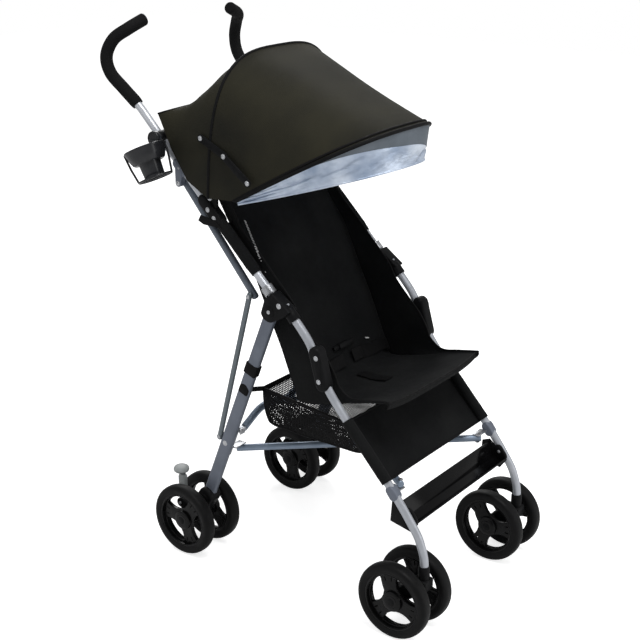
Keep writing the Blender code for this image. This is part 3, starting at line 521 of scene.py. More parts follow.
SILVER = painted("silver_paint", (0.40, 0.42, 0.46), (0.50, 0.52, 0.56), 0.34, 0.45)
HANDLE_SILVER = painted("handle_paint", (0.52, 0.54, 0.58), (0.64, 0.66, 0.70), 0.32, 0.35)
LEG_GREY = painted("leg_grey_paint", (0.125, 0.142, 0.178), (0.17, 0.19, 0.235), 0.42, 0.30)
LINK_GREY = painted("link_grey_paint", (0.105, 0.125, 0.155), (0.155, 0.178, 0.215), 0.40, 0.30)
STAY_GREY = painted("stay_paint", (0.120, 0.145, 0.160), (0.165, 0.190, 0.210), 0.38, 0.35)
BAR_GREY = painted("bar_paint", (0.190, 0.245, 0.320), (0.260, 0.320, 0.410), 0.36, 0.40)
STEEL = painted("zinc_plate", (0.42, 0.43, 0.45), (0.60, 0.61, 0.63), 0.30, 0.85, 60, 900, 0.14)
BRAKE = painted("brake_grey", (0.29, 0.31, 0.31), (0.37, 0.39, 0.39), 0.48, 0.05, 40, 900, 0.18)
PLASTIC = painted("black_plastic", (0.0050, 0.0052, 0.0056), (0.0090, 0.0092, 0.0100), 0.42, 0.0,
                  45, 1100, 0.30, 0.08)
GLOSS = painted("dark_gloss_plastic", (0.0100, 0.0108, 0.0125), (0.0190, 0.0200, 0.0230), 0.20, 0.0,
                25, 500, 0.06, 0.42)
FOOTREST = painted("footrest_plastic", (0.0020, 0.0020, 0.0022), (0.0040, 0.0040, 0.0044), 0.13, 0.0,
                   25, 500, 0.05, 0.14)
RIM = painted("wheel_plastic", (0.0026, 0.0026, 0.0028), (0.0048, 0.0048, 0.0052), 0.24, 0.0,
              35, 900, 0.12, 0.18)
TYRE = painted("tyre", (0.0036, 0.0036, 0.0038), (0.0070, 0.0070, 0.0074), 0.50, 0.0,
               50, 1300, 0.35, 0.13)
FOAM = painted("black_foam", (0.0055, 0.0055, 0.0058), (0.0100, 0.0100, 0.0106), 0.82, 0.0,
               60, 1500, 0.55, 0.12)
BINDING = painted("black_binding", (0.0042, 0.0042, 0.0045), (0.0080, 0.0080, 0.0084), 0.60, 0.0,
                  90, 1600, 0.40, 0.10)
NET = painted("black_net", (0.0045, 0.0045, 0.0048), (0.0090, 0.0090, 0.0095), 0.70, 0.0,
              80, 1500, 0.3, 0.10)
STITCH = painted("pale_stitch", (0.50, 0.50, 0.50), (0.68, 0.68, 0.68), 0.60, 0.0, 80, 1500, 0.3)
print("materials:", len(bpy.data.materials))

# %% [markdown]
# ## Cloth, satin and lining
# The hood, the seat and the calf panel are woven. Two wave textures, turned across each other, are
# added to give crossed threads, and a broad noise under them bends the surface into soft creases that
# are too fine to model. The satin of the visor is the same weave with a bluish sheen of metal, and its two
# tones lie far apart, so its patches paint the light and shade of its folds into its silver-blue colour.

# %% Woven finishes
def woven(name, dark, light, roughness, thread=0.0011, sheen=0.02, patch=9, depth=0.35, folds=0.0,
          fold_scale=26, stretch=(1, 1, 1), metallic=0.0, specular=0.10):
    """Crossed threads in object coordinates, a tone that varies in patches and soft creases; on the satin the
    patches are painted light and shade.
    """
    material, tree, shader = blank(name, roughness, metallic, sheen, specular)
    two_tone(tree, shader, spread(tree, noise_node(tree, patch, 4.0, stretch), 0, 1), dark, light)
    coords = add(tree, "TexCoord")
    cross = add(tree, "Math")
    cross.operation = "ADD"
    for i, turn in enumerate(((0, 0, 0), (0, 0.9, 1.571))):
        mapping = add(tree, "Mapping", Rotation=turn)
        wave = add(tree, "TexWave", Scale=0.314 / thread, Distortion=0.6)
        tree.links.new(coords.outputs["Object"], mapping.inputs["Vector"])
        tree.links.new(mapping.outputs["Vector"], wave.inputs["Vector"])
        tree.links.new(wave.outputs["Fac"], cross.inputs[i])
    normal = bumped(tree, shader, cross.outputs["Value"], depth, 0.0003)
    if folds:
        bumped(tree, shader, noise_node(tree, fold_scale, 2.0, stretch), folds, 0.004, normal)
    return material


CLOTH = woven("black_cloth", (0.0040, 0.0044, 0.0050), (0.0100, 0.0104, 0.0106), 0.85, folds=0.60)
HOOD = woven("hood_cloth", (0.0105, 0.0105, 0.0088), (0.0290, 0.0270, 0.0165), 0.66, patch=5,
             folds=0.22, fold_scale=12, stretch=(0.5, 1.2, 1.2))
# The satin's two tones lie far apart: its patches are painted highlights and shade of gathered folds over its
# own silver-blue.
SATIN = woven("silver_satin", (0.26, 0.34, 0.48), (0.76, 0.84, 0.96), 0.30, thread=0.0007, patch=14,
              depth=0.15, folds=0.9, fold_scale=34, stretch=(0.7, 1.4, 1.4), metallic=0.35, specular=0.5)
LINING = woven("grey_lining", (0.085, 0.105, 0.125), (0.16, 0.185, 0.215), 0.55, thread=0.0008,
               patch=10, folds=0.4, specular=0.3)
print("materials:", len(bpy.data.materials))

# %% [markdown]
# ## Camera, light and floor
# The camera stands where the photograph was taken from, with a long lens. One wide lamp above does
# most of the work, as in a bright room, and three weaker ones open the shadows. The floor and the far
# background are white to the camera alone, so they add no light, and the floor keeps a soft shadow.

# %% Camera
CAMERA = Vector((-1.8694, -1.4109, 1.3513))
AZIMUTH = math.radians(-53.08)
ELEVATION = math.radians(20.02)
back = Vector((math.sin(AZIMUTH) * math.cos(ELEVATION), -math.cos(AZIMUTH) * math.cos(ELEVATION),
               math.sin(ELEVATION)))
free_hands()
bpy.ops.object.camera_add(location=CAMERA)
camera = bpy.context.object
camera.rotation_mode = "QUATERNION"
camera.rotation_quaternion = (-back).to_track_quat("-Z", "Y")
camera.data.sensor_width = 36.0
camera.data.lens = 70.9
camera.data.clip_end = 50
bpy.context.scene.camera = camera
bpy.context.scene.view_settings.view_transform = "Standard"
print("camera at", [round(c, 3) for c in camera.location])

# %% Lights
def lamp(name, place, target, size, power, tint=(1, 1, 1)):
    """A square lamp aimed at a target."""
    free_hands()
    bpy.ops.object.light_add(type="AREA", location=place)
    obj = bpy.context.object
    obj.name = name
    obj.data.size = size
    obj.data.energy = power
    obj.data.color = tint
    obj.rotation_mode = "QUATERNION"
    obj.rotation_quaternion = (Vector(target) - Vector(place)).to_track_quat("-Z", "Y")
    return obj


lamp("key", (-0.5, -1.1, 3.9), (0, 0, 0.5), 1.8, 72)
lamp("fill", (-3.0, 1.2, 1.6), (0, 0, 0.5), 2.2, 7, (0.93, 0.96, 1.0))
lamp("rear", (2.4, 2.2, 2.6), (0, 0, 0.6), 1.6, 40)
lamp("front_low", (1.0, -3.2, 1.0), (0, 0, 0.4), 2.0, 18)

# %% World
def seen_and_lit(tree, seen, lit, surface):
    """Show one shader to the camera and another to everything else."""
    mix = add(tree, "MixShader")
    tree.links.new(add(tree, "LightPath").outputs["Is Camera Ray"], mix.inputs["Fac"])
    tree.links.new(lit, mix.inputs[1])
    tree.links.new(seen, mix.inputs[2])
    tree.links.new(mix.outputs["Shader"], surface)


WHITE = (1, 1, 1, 1)
studio = bpy.data.worlds.new("studio")
bpy.context.scene.world = studio
studio.use_nodes = True
tree = studio.node_tree
sky = tree.nodes["Background"]
sky.inputs["Color"].default_value = WHITE
sky.inputs["Strength"].default_value = 0.42
white = add(tree, "Background", Color=WHITE, Strength=1.0)
seen_and_lit(tree, white.outputs["Background"], sky.outputs["Background"],
             tree.nodes["World Output"].inputs["Surface"])
print("light from all round:", round(sky.inputs["Strength"].default_value, 2))

# %% Floor
free_hands()
bpy.ops.mesh.primitive_plane_add(size=14, location=(0, 0, -0.0005))
floor = bpy.context.object
floor.name = "floor"
floor_paint = bpy.data.materials.new("pale_floor")
floor_paint.use_nodes = True
tree = floor_paint.node_tree
diffuse = add(tree, "BsdfDiffuse", Color=(0.86, 0.86, 0.86, 1))
glow = add(tree, "Emission", Color=WHITE, Strength=0.72)
bright = add(tree, "AddShader")
tree.links.new(diffuse.outputs["BSDF"], bright.inputs[0])
tree.links.new(glow.outputs["Emission"], bright.inputs[1])
seen_and_lit(tree, bright.outputs["Shader"], diffuse.outputs["BSDF"],
             tree.nodes["Material Output"].inputs["Surface"])
floor.data.materials.append(floor_paint)
floor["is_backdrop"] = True
print("floor", [round(v, 2) for v in floor.dimensions])

# %% [markdown]
# ## Wheels
# Each wheel is a fat rounded ring round a thin web with three leaf-shaped windows and two small slots
# in every spoke. The ring is spun from a rounded section, the web is a flat curve with holes that is
# given a thickness, and the hub is turned. One wheel is modelled and copied eight times.

# %% Web with windows
def pierced(outer, holes, half, edge, material):
    """A flat shape with holes, standing in the side view about the origin."""
    free_hands()
    bpy.ops.curve.primitive_bezier_circle_add(location=(0, 0, 0))
    obj = bpy.context.object
    curve = obj.data
    curve.splines.clear()
    curve.dimensions = "2D"
    curve.fill_mode = "BOTH"
    for ring in [outer] + holes:
        spline = curve.splines.new("POLY")
        spline.points.add(len(ring) - 1)
        for point, (a, b) in zip(spline.points, ring):
            point.co = (a, b, 0, 1)
        spline.use_cyclic_u = True
    curve.extrude = half - edge
    curve.bevel_depth = edge
    curve.bevel_resolution = 2
    take(obj)
    bpy.ops.object.convert(target="MESH")
    obj = bpy.context.object
    obj.data.transform(Matrix(((0, 0, 1, 0), (1, 0, 0, 0), (0, 1, 0, 0), (0, 0, 0, 1))))
    edit(obj, tidy_normals)
    return paint(soften(obj), material)


WINDOW_R = 0.0515
WINDOW_HALF_ANGLE = 40
BULGE_MIDDLE = 0.0586
BULGE_R = 0.0375
TIP_GAP = 4


def leaf(middle):
    """Window outline: an arc near the rim and an arc that bulges to the hub, meeting in points."""
    out = arc((0, 0), WINDOW_R, middle - WINDOW_HALF_ANGLE, middle + WINDOW_HALF_ANGLE, 10)
    far = Vector((math.cos(math.radians(middle)), math.sin(math.radians(middle)))) * BULGE_MIDDLE
    first, last = [math.degrees(math.atan2(tip.y, tip.x)) % 360
                   for tip in (Vector(out[-1]) - far, Vector(out[0]) - far)]
    while last < first:
        last += 360
    return out + arc(far, BULGE_R, first + TIP_GAP, last - TIP_GAP, 8)


def slot(middle, radius, half_width, half_length):
    """A small window that lies along a spoke."""
    c = math.cos(math.radians(middle))
    s = math.sin(math.radians(middle))
    corners = rectangle(-half_width, half_width, -half_length, half_length)
    return [((radius + v) * c - u * s, (radius + v) * s + u * c) for u, v in corners]


print("window points:", len(leaf(0)))

# %% One wheel
TREAD_MIDDLE = 0.0645
TREAD_DEPTH = 0.0105
TREAD_HALF = 0.0135
SQUARENESS = 0.72
PINCH_R = 0.0605
PINCH_HALF = 0.0012


def tyre_section(steps=36):
    """A rounded square, pinched a little along the line where the tyre meets the rim."""
    section = []
    for i in range(steps):
        a = 2 * math.pi * i / steps
        c, s = math.cos(a), math.sin(a)
        r = TREAD_MIDDLE + math.copysign(abs(c) ** SQUARENESS, c) * TREAD_DEPTH
        h = math.copysign(abs(s) ** SQUARENESS, s) * TREAD_HALF
        pinched = abs(r - PINCH_R) < PINCH_HALF
        section.append((r - 0.0004 * pinched, h * (1 - 0.05 * pinched)))
    return section


def wheel():
    """One whole wheel round the x axis, at the origin."""
    centre, axis = (0, 0, 0), (1, 0, 0)
    tyre = ring_of(tyre_section(), centre, axis, TYRE, 64, 60)
    holes = [leaf(120 * k) for k in range(3)]
    holes += [slot(60 + 120 * k + turn, 0.0440, 0.0017, 0.0048) for turn in (9, -9) for k in range(3)]
    holes += [arc((0, 0), 0.0060, 0, 345, 23)]
    web = pierced(arc((0, 0), 0.0560, 0, 355, 71), holes, 0.0045, 0.0009, RIM)
    half_hub = [(0.0045, 0.0116), (0.0120, 0.0116), (0.0128, 0.0108), (0.0180, 0.0104),
                (0.0200, 0.0090), (0.0206, 0.0040)]
    hub = ring_of(half_hub + [(r, -h) for r, h in reversed(half_hub)], centre, axis, RIM, 40)
    lip = [(0.0535, 0.0036), (0.0535, 0.0105), (0.0548, 0.0118), (0.0570, 0.0112), (0.0572, 0.0036)]
    lips = [ring_of([(r, way * h) for r, h in lip], centre, axis, RIM, 64) for way in (-1, 1)]
    return joined([tyre, web, hub] + lips)


pattern_wheel = wheel()
print("wheel faces:", len(pattern_wheel.data.polygons))

# %% Eight wheels, each turned as it stands in the photograph
TURNS = {"front_right_outer": 16, "front_right_inner": 20, "rear_right_outer": 70, "rear_right_inner": 38,
         "front_left_outer": 95, "front_left_inner": 115, "rear_left_outer": 12, "rear_left_inner": 84}
for end, axle, half_track, splay in (("front", FRONT_AXLE, FRONT_X, FRONT_SPLAY),
                                     ("rear", REAR_AXLE, REAR_X, REAR_SPLAY)):
    for side, s in SIDES:
        for layer, shift in (("inner", -1), ("outer", 1)):
            one = copied(pattern_wheel)
            turn = Matrix.Rotation(math.radians(TURNS["%s_%s_%s" % (end, side, layer)]), 4, "X")
            one.data.transform(Matrix.Translation(at(s * (half_track + shift * splay), *axle)) @ turn)
            node = "%s_wheel_%s_%s" % (end, side, layer)
            settle(one, "rolling_" + node, node, [node])
bpy.data.objects.remove(pattern_wheel)

# %% [markdown]
# ## Handles and front tubes
# The handle is one bent tube with a foam grip pulled over its end, so both follow one line and the grip
# only gets a wider radius, drawn in at its end. The front tube bends twice on its way to the caster.

# %% Handles and front tubes
HANDLE = [(PUSH_X, *on_push(0.045)), (PUSH_X, *on_push(0.20)), (PUSH_X, *on_push(0.335)),
          (0.1762, 0.3700, 0.9090), (0.1800, 0.4060, 0.9400), (0.1865, 0.4340, 0.9690),
          (0.1880, 0.4410, 1.0010), (0.1800, 0.4280, 1.0320), (0.1610, 0.4080, 1.0510),
          (0.1270, 0.3990, 1.0660)]
HANDLE_STEPS = 8
GRIP_FROM = 3 * HANDLE_STEPS + 1
TUBE_TAIL = 10
GRIP_MOUTH = [0.92, 0.99]
GRIP_END = [0.96, 0.85, 0.62, 0.30]

for side, s in SIDES:
    line = flow([at(s * x, y, z) for x, y, z in HANDLE], HANDLE_STEPS)
    tube = pipe(line[:-TUBE_TAIL], TUBE_R, HANDLE_SILVER, 12)
    fit(side, [tube], "handle_tube", "frame", "push_tube")
    hold = line[GRIP_FROM:]
    heading = (hold[-1] - hold[-2]).normalized()
    hold = hold + [hold[-1] + heading * d for d in (0.0020, 0.0035, 0.0043, 0.0045)]
    radii = GRIP_MOUTH + [1.0] * (len(hold) - len(GRIP_MOUTH + GRIP_END)) + GRIP_END
    grip = pipe(hold, GRIP_R, FOAM, 14, radii=radii)
    fit(side, [grip], "foam_grip", "frame", "handle_grip")
    front = pipe(flow([at(s * FRONT_X, y, z) for y, z in FRONT_LINE], 6), TUBE_R, SILVER, 12)
    fit(side, [front], "front_pipe", "frame", "front_tube")

# %% [markdown]
# ## Knuckles, lock collars and side clips
# Push tube, front tube and rear leg meet in a moulded knuckle: one thick outline with soft edges and a
# short sleeve that grips the front tube. Above it slides a ribbed collar, spun with its ribs from one
# profile. The clip that holds the seat's side is a rounded block under a riveted strap.

# %% Pins and rivets
def pin(x, spot, s, radius, length, steps=14):
    """A steel pin that starts at x and points outwards."""
    profile = [(0.0, 0.0), (radius, 0.0), (radius, length), (0.0, length)]
    return turned(profile, at(s * x, *spot), (s, 0, 0), STEEL, steps)


def rivet(x, spot, s, radius=0.0040, height=0.0016):
    """A domed head on a washer, its base at x, the outer face of the piece under it."""
    profile = [(0.0, height)]
    profile += [(radius * math.sin(a), height * math.cos(a)) for a in (0.35, 0.75, 1.15, 1.45)]
    profile += [(radius, 0.0), (radius * 1.35, 0.0002), (radius * 1.35, -0.0004),
                (radius * 0.9, -0.0006), (0.0, -0.0006)]
    return turned(profile, at(s * x, *spot), (s, 0, 0), STEEL, 16)


print("pins and rivets ready")

# %% Knuckles
KNUCKLE_LOW = on_front(0.5660)
KNUCKLE_HIGH = on_push(0.0505)
KNUCKLE_RIVET = (0.0235, 0.5812)
SLEEVE_FOOT = on_front(0.5540)
SLEEVE_AHEAD = on_front(0.5600)

for side, s in SIDES:
    low, high = KNUCKLE_LOW, KNUCKLE_HIGH
    outline = arc(LEG_PIVOT, 0.0205, 250, 345, 14)
    outline += [(high[0] + 0.0087, high[1] - 0.0087), (high[0] - 0.0087, high[1] + 0.0087)]
    outline += [(low[0] - 0.0082, low[1] + 0.0073), (low[0] + 0.0078, low[1] - 0.0069)]
    shell = plate(outline, s * 0.1635, s * 0.1905, 0.0042, PLASTIC, 4)
    cap = disc(LEG_PIVOT, 0.0125, s * 0.1890, s * 0.1912, 0.0008, PLASTIC)
    sleeve = ring_of([(0.0083, 0.0), (0.0112, 0.0), (0.0118, 0.0012), (0.0116, 0.0240),
                      (0.0100, 0.0262), (0.0083, 0.0262)], at(s * FRONT_X, *SLEEVE_FOOT),
                     at(0, *SLEEVE_AHEAD) - at(0, *SLEEVE_FOOT), PLASTIC, 32)
    heads = [rivet(0.1910, LEG_PIVOT, s), rivet(0.1905, KNUCKLE_RIVET, s)]
    fit(side, [shell, cap, sleeve] + heads, "knuckle_shell", "frame", "knuckle")

# %% Lock collars
COLLAR_PITCH = 0.0030
profile = [(0.0084, 0.0088), (0.0112, 0.0088), (0.0120, 0.0080)]
for k in range(5):
    top = 0.0068 - k * COLLAR_PITCH
    profile += [(0.0120, top), (0.0113, top - 0.0007), (0.0113, top - 0.0012), (0.0120, top - 0.0019)]
profile += [(0.0120, -0.0080), (0.0112, -0.0088), (0.0084, -0.0088)]
for side, s in SIDES:
    ferrule = ring_of(profile, at(s * PUSH_X, *on_push(0.058)), PUSH_DIR, STEEL, 40)
    fit(side, [ferrule], "ribbed_ferrule", "collar", "lock_collar")

# %% Side clips
CLIP_ENDS = ((-0.0540, 0.5030), (-0.0705, 0.4450))
CLIP_STRAP = ((-0.0590, 0.5000), (-0.0680, 0.4500))
CLIP_RIVETS = ((-0.0608, 0.4975), (-0.0668, 0.4525))

for side, s in SIDES:
    block = plate(capsule(*CLIP_ENDS, 0.0132), s * 0.1625, s * 0.1880, 0.0058, PLASTIC, 4)
    strip = plate(capsule(*CLIP_STRAP, 0.0065), s * 0.1872, s * 0.1890, 0.0007, PLASTIC, 2)
    heads = [rivet(0.1890, spot, s, 0.0036) for spot in CLIP_RIVETS]
    fit(side, [block, strip] + heads, "seat_clip", "frame", "side_clip")

# %% [markdown]
# ## Side linkage
# A dark link runs down from a stamped plate on the push tube and a lighter stay joins it to the rear
# leg. Both are rods with domed ends, so they are round bars whose radius is drawn in at the ends, and
# both turn on pins with small rivet heads.

# %% Rods between two pins
def domed_rod(p, q, x, s, radius, material, over):
    """A rod whose ends are domed a little past its two pins."""
    a = at(s * x, *p)
    b = at(s * x, *q)
    along = (b - a).normalized()
    dome = [(-over, 0.55), (-over + 0.0012, 0.82), (-over + 0.0030, 0.96), (-over + 0.0055, 1.0)]
    path = [a + along * d for d, _ in dome]
    path += [a.lerp(b, 0.5)]
    path += [b - along * d for d, _ in reversed(dome)]
    radii = [r for _, r in dome] + [1.0] + [r for _, r in reversed(dome)]
    return pipe(path, radius, material, 12, radii=radii)


print("link length", round((at(0, *LINK_TOP) - at(0, *LINK_LOW)).length, 4))

# %% Link plate, link and stay
PLATE_SPOT = on_push(0.2655)
SADDLE_DY, SADDLE_DZ = 0.007, 0.0069

for side, s in SIDES:
    y, z = PLATE_SPOT
    saddle = plate(capsule((y - SADDLE_DY, z - SADDLE_DZ), (y + SADDLE_DY, z + SADDLE_DZ), 0.0098),
                   s * 0.1665, s * 0.1862, 0.0028, LEG_GREY, 3)
    ear = plate(capsule(LINK_TOP, PLATE_SPOT, 0.0070, 0.0095), s * 0.1745, s * 0.1870, 0.0010, LEG_GREY, 2)
    bolt = pin(0.1575, LINK_TOP, s, 0.0028, 0.0200, 16)
    heads = [rivet(0.1870, LINK_TOP, s, 0.0036), rivet(0.1862, PLATE_SPOT, s, 0.0030),
             turned([(0.0, 0.0), (0.0044, 0.0), (0.0050, 0.0010), (0.0050, 0.0028), (0.0, 0.0030)],
                    at(s * 0.1587, *LINK_TOP), (-s, 0, 0), STEEL, 20)]
    fit(side, [saddle, ear, bolt] + heads, "link_saddle", "frame", "link_plate")
    link = domed_rod(LINK_TOP, LINK_LOW, 0.1665, s, 0.0073, LINK_GREY, 0.0085)
    ends = [pin(0.1670, LINK_LOW, s, 0.0018, 0.0185), rivet(0.1857, LINK_LOW, s, 0.0032, 0.0014)]
    fit(side, [link] + ends, "dark_link", "link", "side_link")
    stay = domed_rod(LINK_LOW, STAY_LOW, 0.1803, s, 0.0054, STAY_GREY, 0.0078)
    fit(side, [stay], "pale_stay", "stay", "leg_stay")

# %% [markdown]
# ## Rear legs
# The leg is a flat oval tube, which a thick bevel on a flat outline gives directly. Riveted to it are a
# lug for the stay, a steel plate with two ears for the brace and a small tongue under the crossed bar.
# A black band is wrapped round it below the seat.

# %% Rear legs
def leg_outline(half, top=LEG_PIVOT, foot=LEG_FOOT):
    """The leg seen from the side, round at its top and cut straight at its foot."""
    heading = math.degrees(math.atan2(top[1] - foot[1], top[0] - foot[0]))
    nx = -math.sin(math.radians(heading))
    ny = math.cos(math.radians(heading))
    return arc(top, half, heading - 90, heading + 90, 14) + [
        (foot[0] + nx * half, foot[1] + ny * half), (foot[0] - nx * half, foot[1] - ny * half)]


BAR_FRONT = Vector((0.1420, -0.2190, 0.2740))
BAR_REAR = Vector((0.1450, 0.1630, 0.2525))
BAR_R = 0.0069
BAR_STEP = 0.0160
TONGUE = 0.0025
TONGUE_LEVEL = {"left": BAR_REAR.z - BAR_R - 0.0030, "right": BAR_REAR.z - BAR_STEP + BAR_R + 0.0055}
EAR = 0.0025

for side, s in SIDES:
    tube = plate(leg_outline(0.01325), s * 0.1705, s * 0.1855, 0.0062, LEG_GREY, 5)
    lug = plate(capsule((STAY_LOW[0] - 0.020, STAY_LOW[1] - 0.004), STAY_LOW, 0.0085, 0.0058), s * 0.1714,
                s * 0.1740, 0.0006, LEG_GREY, 2)
    low_pin = pin(0.1725, STAY_LOW, s, 0.0020, 0.0155)
    heads = [rivet(0.1857, STAY_LOW, s, 0.0034, 0.0014), rivet(0.1855, on_leg(0.2600), s, 0.0042)]
    inner = plate(capsule(on_leg(0.236), on_leg(0.292), 0.0115), s * 0.1680, s * 0.1712, 0.0006, STEEL, 2)
    ears = [plate(rectangle(y, y + EAR, 0.2800, 0.2920), s * 0.1556, s * 0.1700, 0.0004, STEEL, 2)
            for y in (BRACE_PIVOT[0] - 0.0072, BRACE_PIVOT[0] + 0.0047)]
    half_spool = [(0.0, 0.0078), (0.0040, 0.0078), (0.0040, 0.0070), (0.0024, 0.0070)]
    ears.append(turned([(r, -h) for r, h in half_spool] + half_spool[::-1],
                       at(s * 0.160, *BRACE_PIVOT), (0, 1, 0), STEEL, 16))
    level = TONGUE_LEVEL[side]
    tongue = plate(rectangle(0.1540, 0.1720, level - TONGUE, level), s * 0.1380, s * 0.1706, 0.0006, STEEL, 2)
    fit(side, [tube, lug, low_pin, inner, tongue] + heads + ears, "oval_leg", "leg",
        "rear_leg")

# %% Bands round the legs
for side, s in SIDES:
    top, foot = on_leg(0.4470), on_leg(0.4230)
    wrap = plate(leg_outline(0.0142, top, foot)[-2:] + leg_outline(0.0142, foot, top)[-2:], s * 0.1695,
                 s * 0.1865, 0.0022, BINDING, 3)
    fit(side, [wrap], "leg_band", "leg")

# %% [markdown]
# ## Folding brace
# Two bent rods reach from the rear legs to the middle, where they pass each other, and fold upwards as
# the legs close in. Each is a smooth curve that swerves round the other, on a flat tab at the leg.

# %% Brace halves
PASS_BY = 0.0079

for side, s in SIDES:
    y, level = BRACE_PIVOT
    path = [(0.1480, 0.0, level + 0.0022), (0.1390, 0.0, level + 0.0070), (0.1030, 0.1, 0.3110),
            (0.0760, 0.5, 0.3160), (0.0500, 1.0, 0.3130), (0.0260, 1.0, 0.3060), (-0.0060, 1.0, 0.2950)]
    line = flow([at(s * x, y + s * PASS_BY * share, z) for x, share, z in path], 6)
    rod = pipe(line, 0.0075, BAR_GREY, 12)
    tab = plate(rectangle(y - 0.0042, y + 0.0042, level - 0.0058, level + 0.0060), s * 0.1450, s * 0.1647,
                0.0015, SILVER, 3)
    fit(side, [rod, tab], "bent_brace", "brace", "brace_half")

# %% [markdown]
# ## Crossed bars
# Two bars lie one over the other, each from a bracket on a front tube to the far rear leg, and a pin
# joins them where they cross: the upper bar carries the pin, the lower one a ring round it. The
# bracket's stud leans, because the bar turns about a leaning axis when the frame closes.

# %% Crossed bars
CROSS_PIN = [(0.0, -0.0222), (0.0019, -0.0222), (0.0019, 0.0074), (0.0046, 0.0074), (0.0040, 0.0088),
             (0.0, 0.0092)]
CROSS_RING = [(0.0068, -0.0055), (0.0100, -0.0055), (0.0106, -0.0045), (0.0106, 0.0045),
              (0.0100, 0.0055), (0.0068, 0.0055)]

for side, s in SIDES:
    drop = Vector((0, 0, 0.0 if s < 0 else -BAR_STEP))
    front = Vector((s * BAR_FRONT.x, BAR_FRONT.y, BAR_FRONT.z)) + drop
    rear = Vector((-s * BAR_REAR.x, BAR_REAR.y, BAR_REAR.z)) + drop
    along = (rear - front).normalized()
    path = [front - along * d for d in (0.0070, 0.0060, 0.0040)] + [(front + rear) / 2]
    path += [rear + along * d for d in (0.0050, 0.0070, 0.0080)]
    bar = pipe([at(*p) for p in path], BAR_R, BAR_GREY, 12, radii=[0.80, 0.95, 1.0, 1.0, 1.0, 0.95, 0.80])
    hub = at(*(front + along * ((0 - front.x) / along.x)))
    if s < 0:
        joint = turned(CROSS_PIN, hub, (0, 0, 1), STEEL, 18)
    else:
        joint = ring_of(CROSS_RING, hub, (0, 0, 1), SILVER, 28)
    fit(side, [bar, joint], "crossed_bar", "bar", "cross_bar")

# %% Brackets of the crossed bars
for side, s in SIDES:
    upper = s < 0
    bar_z = BAR_FRONT.z if upper else BAR_FRONT.z - BAR_STEP
    c = on_front(0.2700)
    ring = plate(capsule(toward(c, on_front(0.28), -0.006), toward(c, on_front(0.28), 0.006), 0.0093),
                 s * 0.1640, s * 0.1829, 0.0028, LEG_GREY, 3)
    level = bar_z - BAR_R - 0.0009 if upper else bar_z + BAR_R + 0.0034
    y = BAR_FRONT.y - 0.008
    tongue = plate(rectangle(y, y + 0.016, level - TONGUE, level), s * 0.1345, s * 0.1660, 0.0006, STEEL, 2)
    ends = (level - 0.001, bar_z + BAR_R + 0.0022) if upper else (bar_z - BAR_R - 0.0022, level - 0.001)
    lean = Vector((-0.1998 * s, -0.1131, 0.9733)).normalized()
    low, high = [(z - bar_z) / lean.z for z in ends]
    stud = [(0.0, low), (0.0024, low), (0.0024, high - 0.0018), (0.0048, high - 0.0018),
            (0.0044, high - 0.0004), (0.0, high)]
    if not upper:
        stud = [(r, low + high - h) for r, h in stud]
    stud = turned(stud, at(s * BAR_FRONT.x, BAR_FRONT.y, bar_z), lean, STEEL, 20)
    fit(side, [ring, tongue, stud], "bar_ring", "frame", "bar_bracket")

# %% [markdown]
# ## Rear housings and brakes
# The leg ends in a moulded housing that carries the axle. It is an outline with generous rounded edges
# and a rib raised on its outer face. On a pin behind it sits the brake pedal, a stem under a domed pad
# that is turned and then pressed oval.

# %% Axles
def axle_set(x, axle, splay, s):
    """Axle and end caps of a pair of wheels."""
    reach = splay + 0.0122
    base = splay + 0.0108
    spot = at(s * x, *axle)
    rod = turned([(0.0, -reach), (0.0042, -reach), (0.0042, reach), (0.0, reach)], spot, (1, 0, 0), STEEL, 20)
    cap = [(0.0, base + 0.0022), (0.0060, base + 0.0018), (0.0082, base + 0.0008), (0.0086, base),
           (0.0, base)]
    return [rod] + [turned(cap, spot, (way, 0, 0), PLASTIC, 28) for way in (-1, 1)]


print("axle sets ready")

# %% Rear housings
for side, s in SIDES:
    block = plate(capsule(on_leg(0.128), REAR_AXLE, 0.0180, 0.0165, 14), s * (REAR_X - 0.0165),
                  s * (REAR_X + 0.0165), 0.0055, PLASTIC, 4)
    arm = plate(capsule(REAR_AXLE, BRAKE_PIVOT, 0.0130, 0.0105, 12), s * (REAR_X - 0.0120),
                s * (REAR_X + 0.0120), 0.0035, PLASTIC, 3)
    rib = plate(capsule(on_leg(0.122), REAR_AXLE, 0.0110, 0.0100, 12), s * (REAR_X + 0.0150),
                s * (REAR_X + 0.0178), 0.0010, PLASTIC, 2)
    head = rivet(REAR_X + 0.0120, BRAKE_PIVOT, s, 0.0030, 0.0012)
    fit(side, [block, arm, rib, head] + axle_set(REAR_X, REAR_AXLE, REAR_SPLAY, s), "moulded_foot", "leg",
        "axle_housing")

# %% Brake pedals
PAD_PROFILE = [(0.0, 0.0056), (0.0080, 0.0055), (0.0140, 0.0048), (0.0180, 0.0028), (0.0190, 0.0002),
               (0.0186, -0.0022), (0.0150, -0.0048), (0.0080, -0.0090), (0.0, -0.0110)]
PAD_AXIS = (0, -0.15, 0.99)
PAD_OVAL = Matrix.Diagonal((0.95, 0.78, 1.0, 1.0))

for side, s in SIDES:
    stem = plate(capsule(BRAKE_PIVOT, (0.2955, 0.1440), 0.0078, 0.0085, 12), s * (REAR_X - 0.0060),
                 s * (REAR_X + 0.0060), 0.0025, BRAKE, 3)
    centre = at(s * REAR_X, 0.2985, 0.1620)
    pad = turned(PAD_PROFILE, centre, PAD_AXIS, BRAKE, 40, 60)
    pad.data.transform(Matrix.Translation(centre) @ PAD_OVAL @ Matrix.Translation(-centre))
    fit(side, [stem, pad], "brake_pedal", "brake", "brake_lever")

# %% [markdown]
# ## Casters
# The front wheels trail behind an upright stem, so that they follow when the stroller turns. The fork
# is made like the rear housing, and a short sleeve on the tube's end takes its stem.

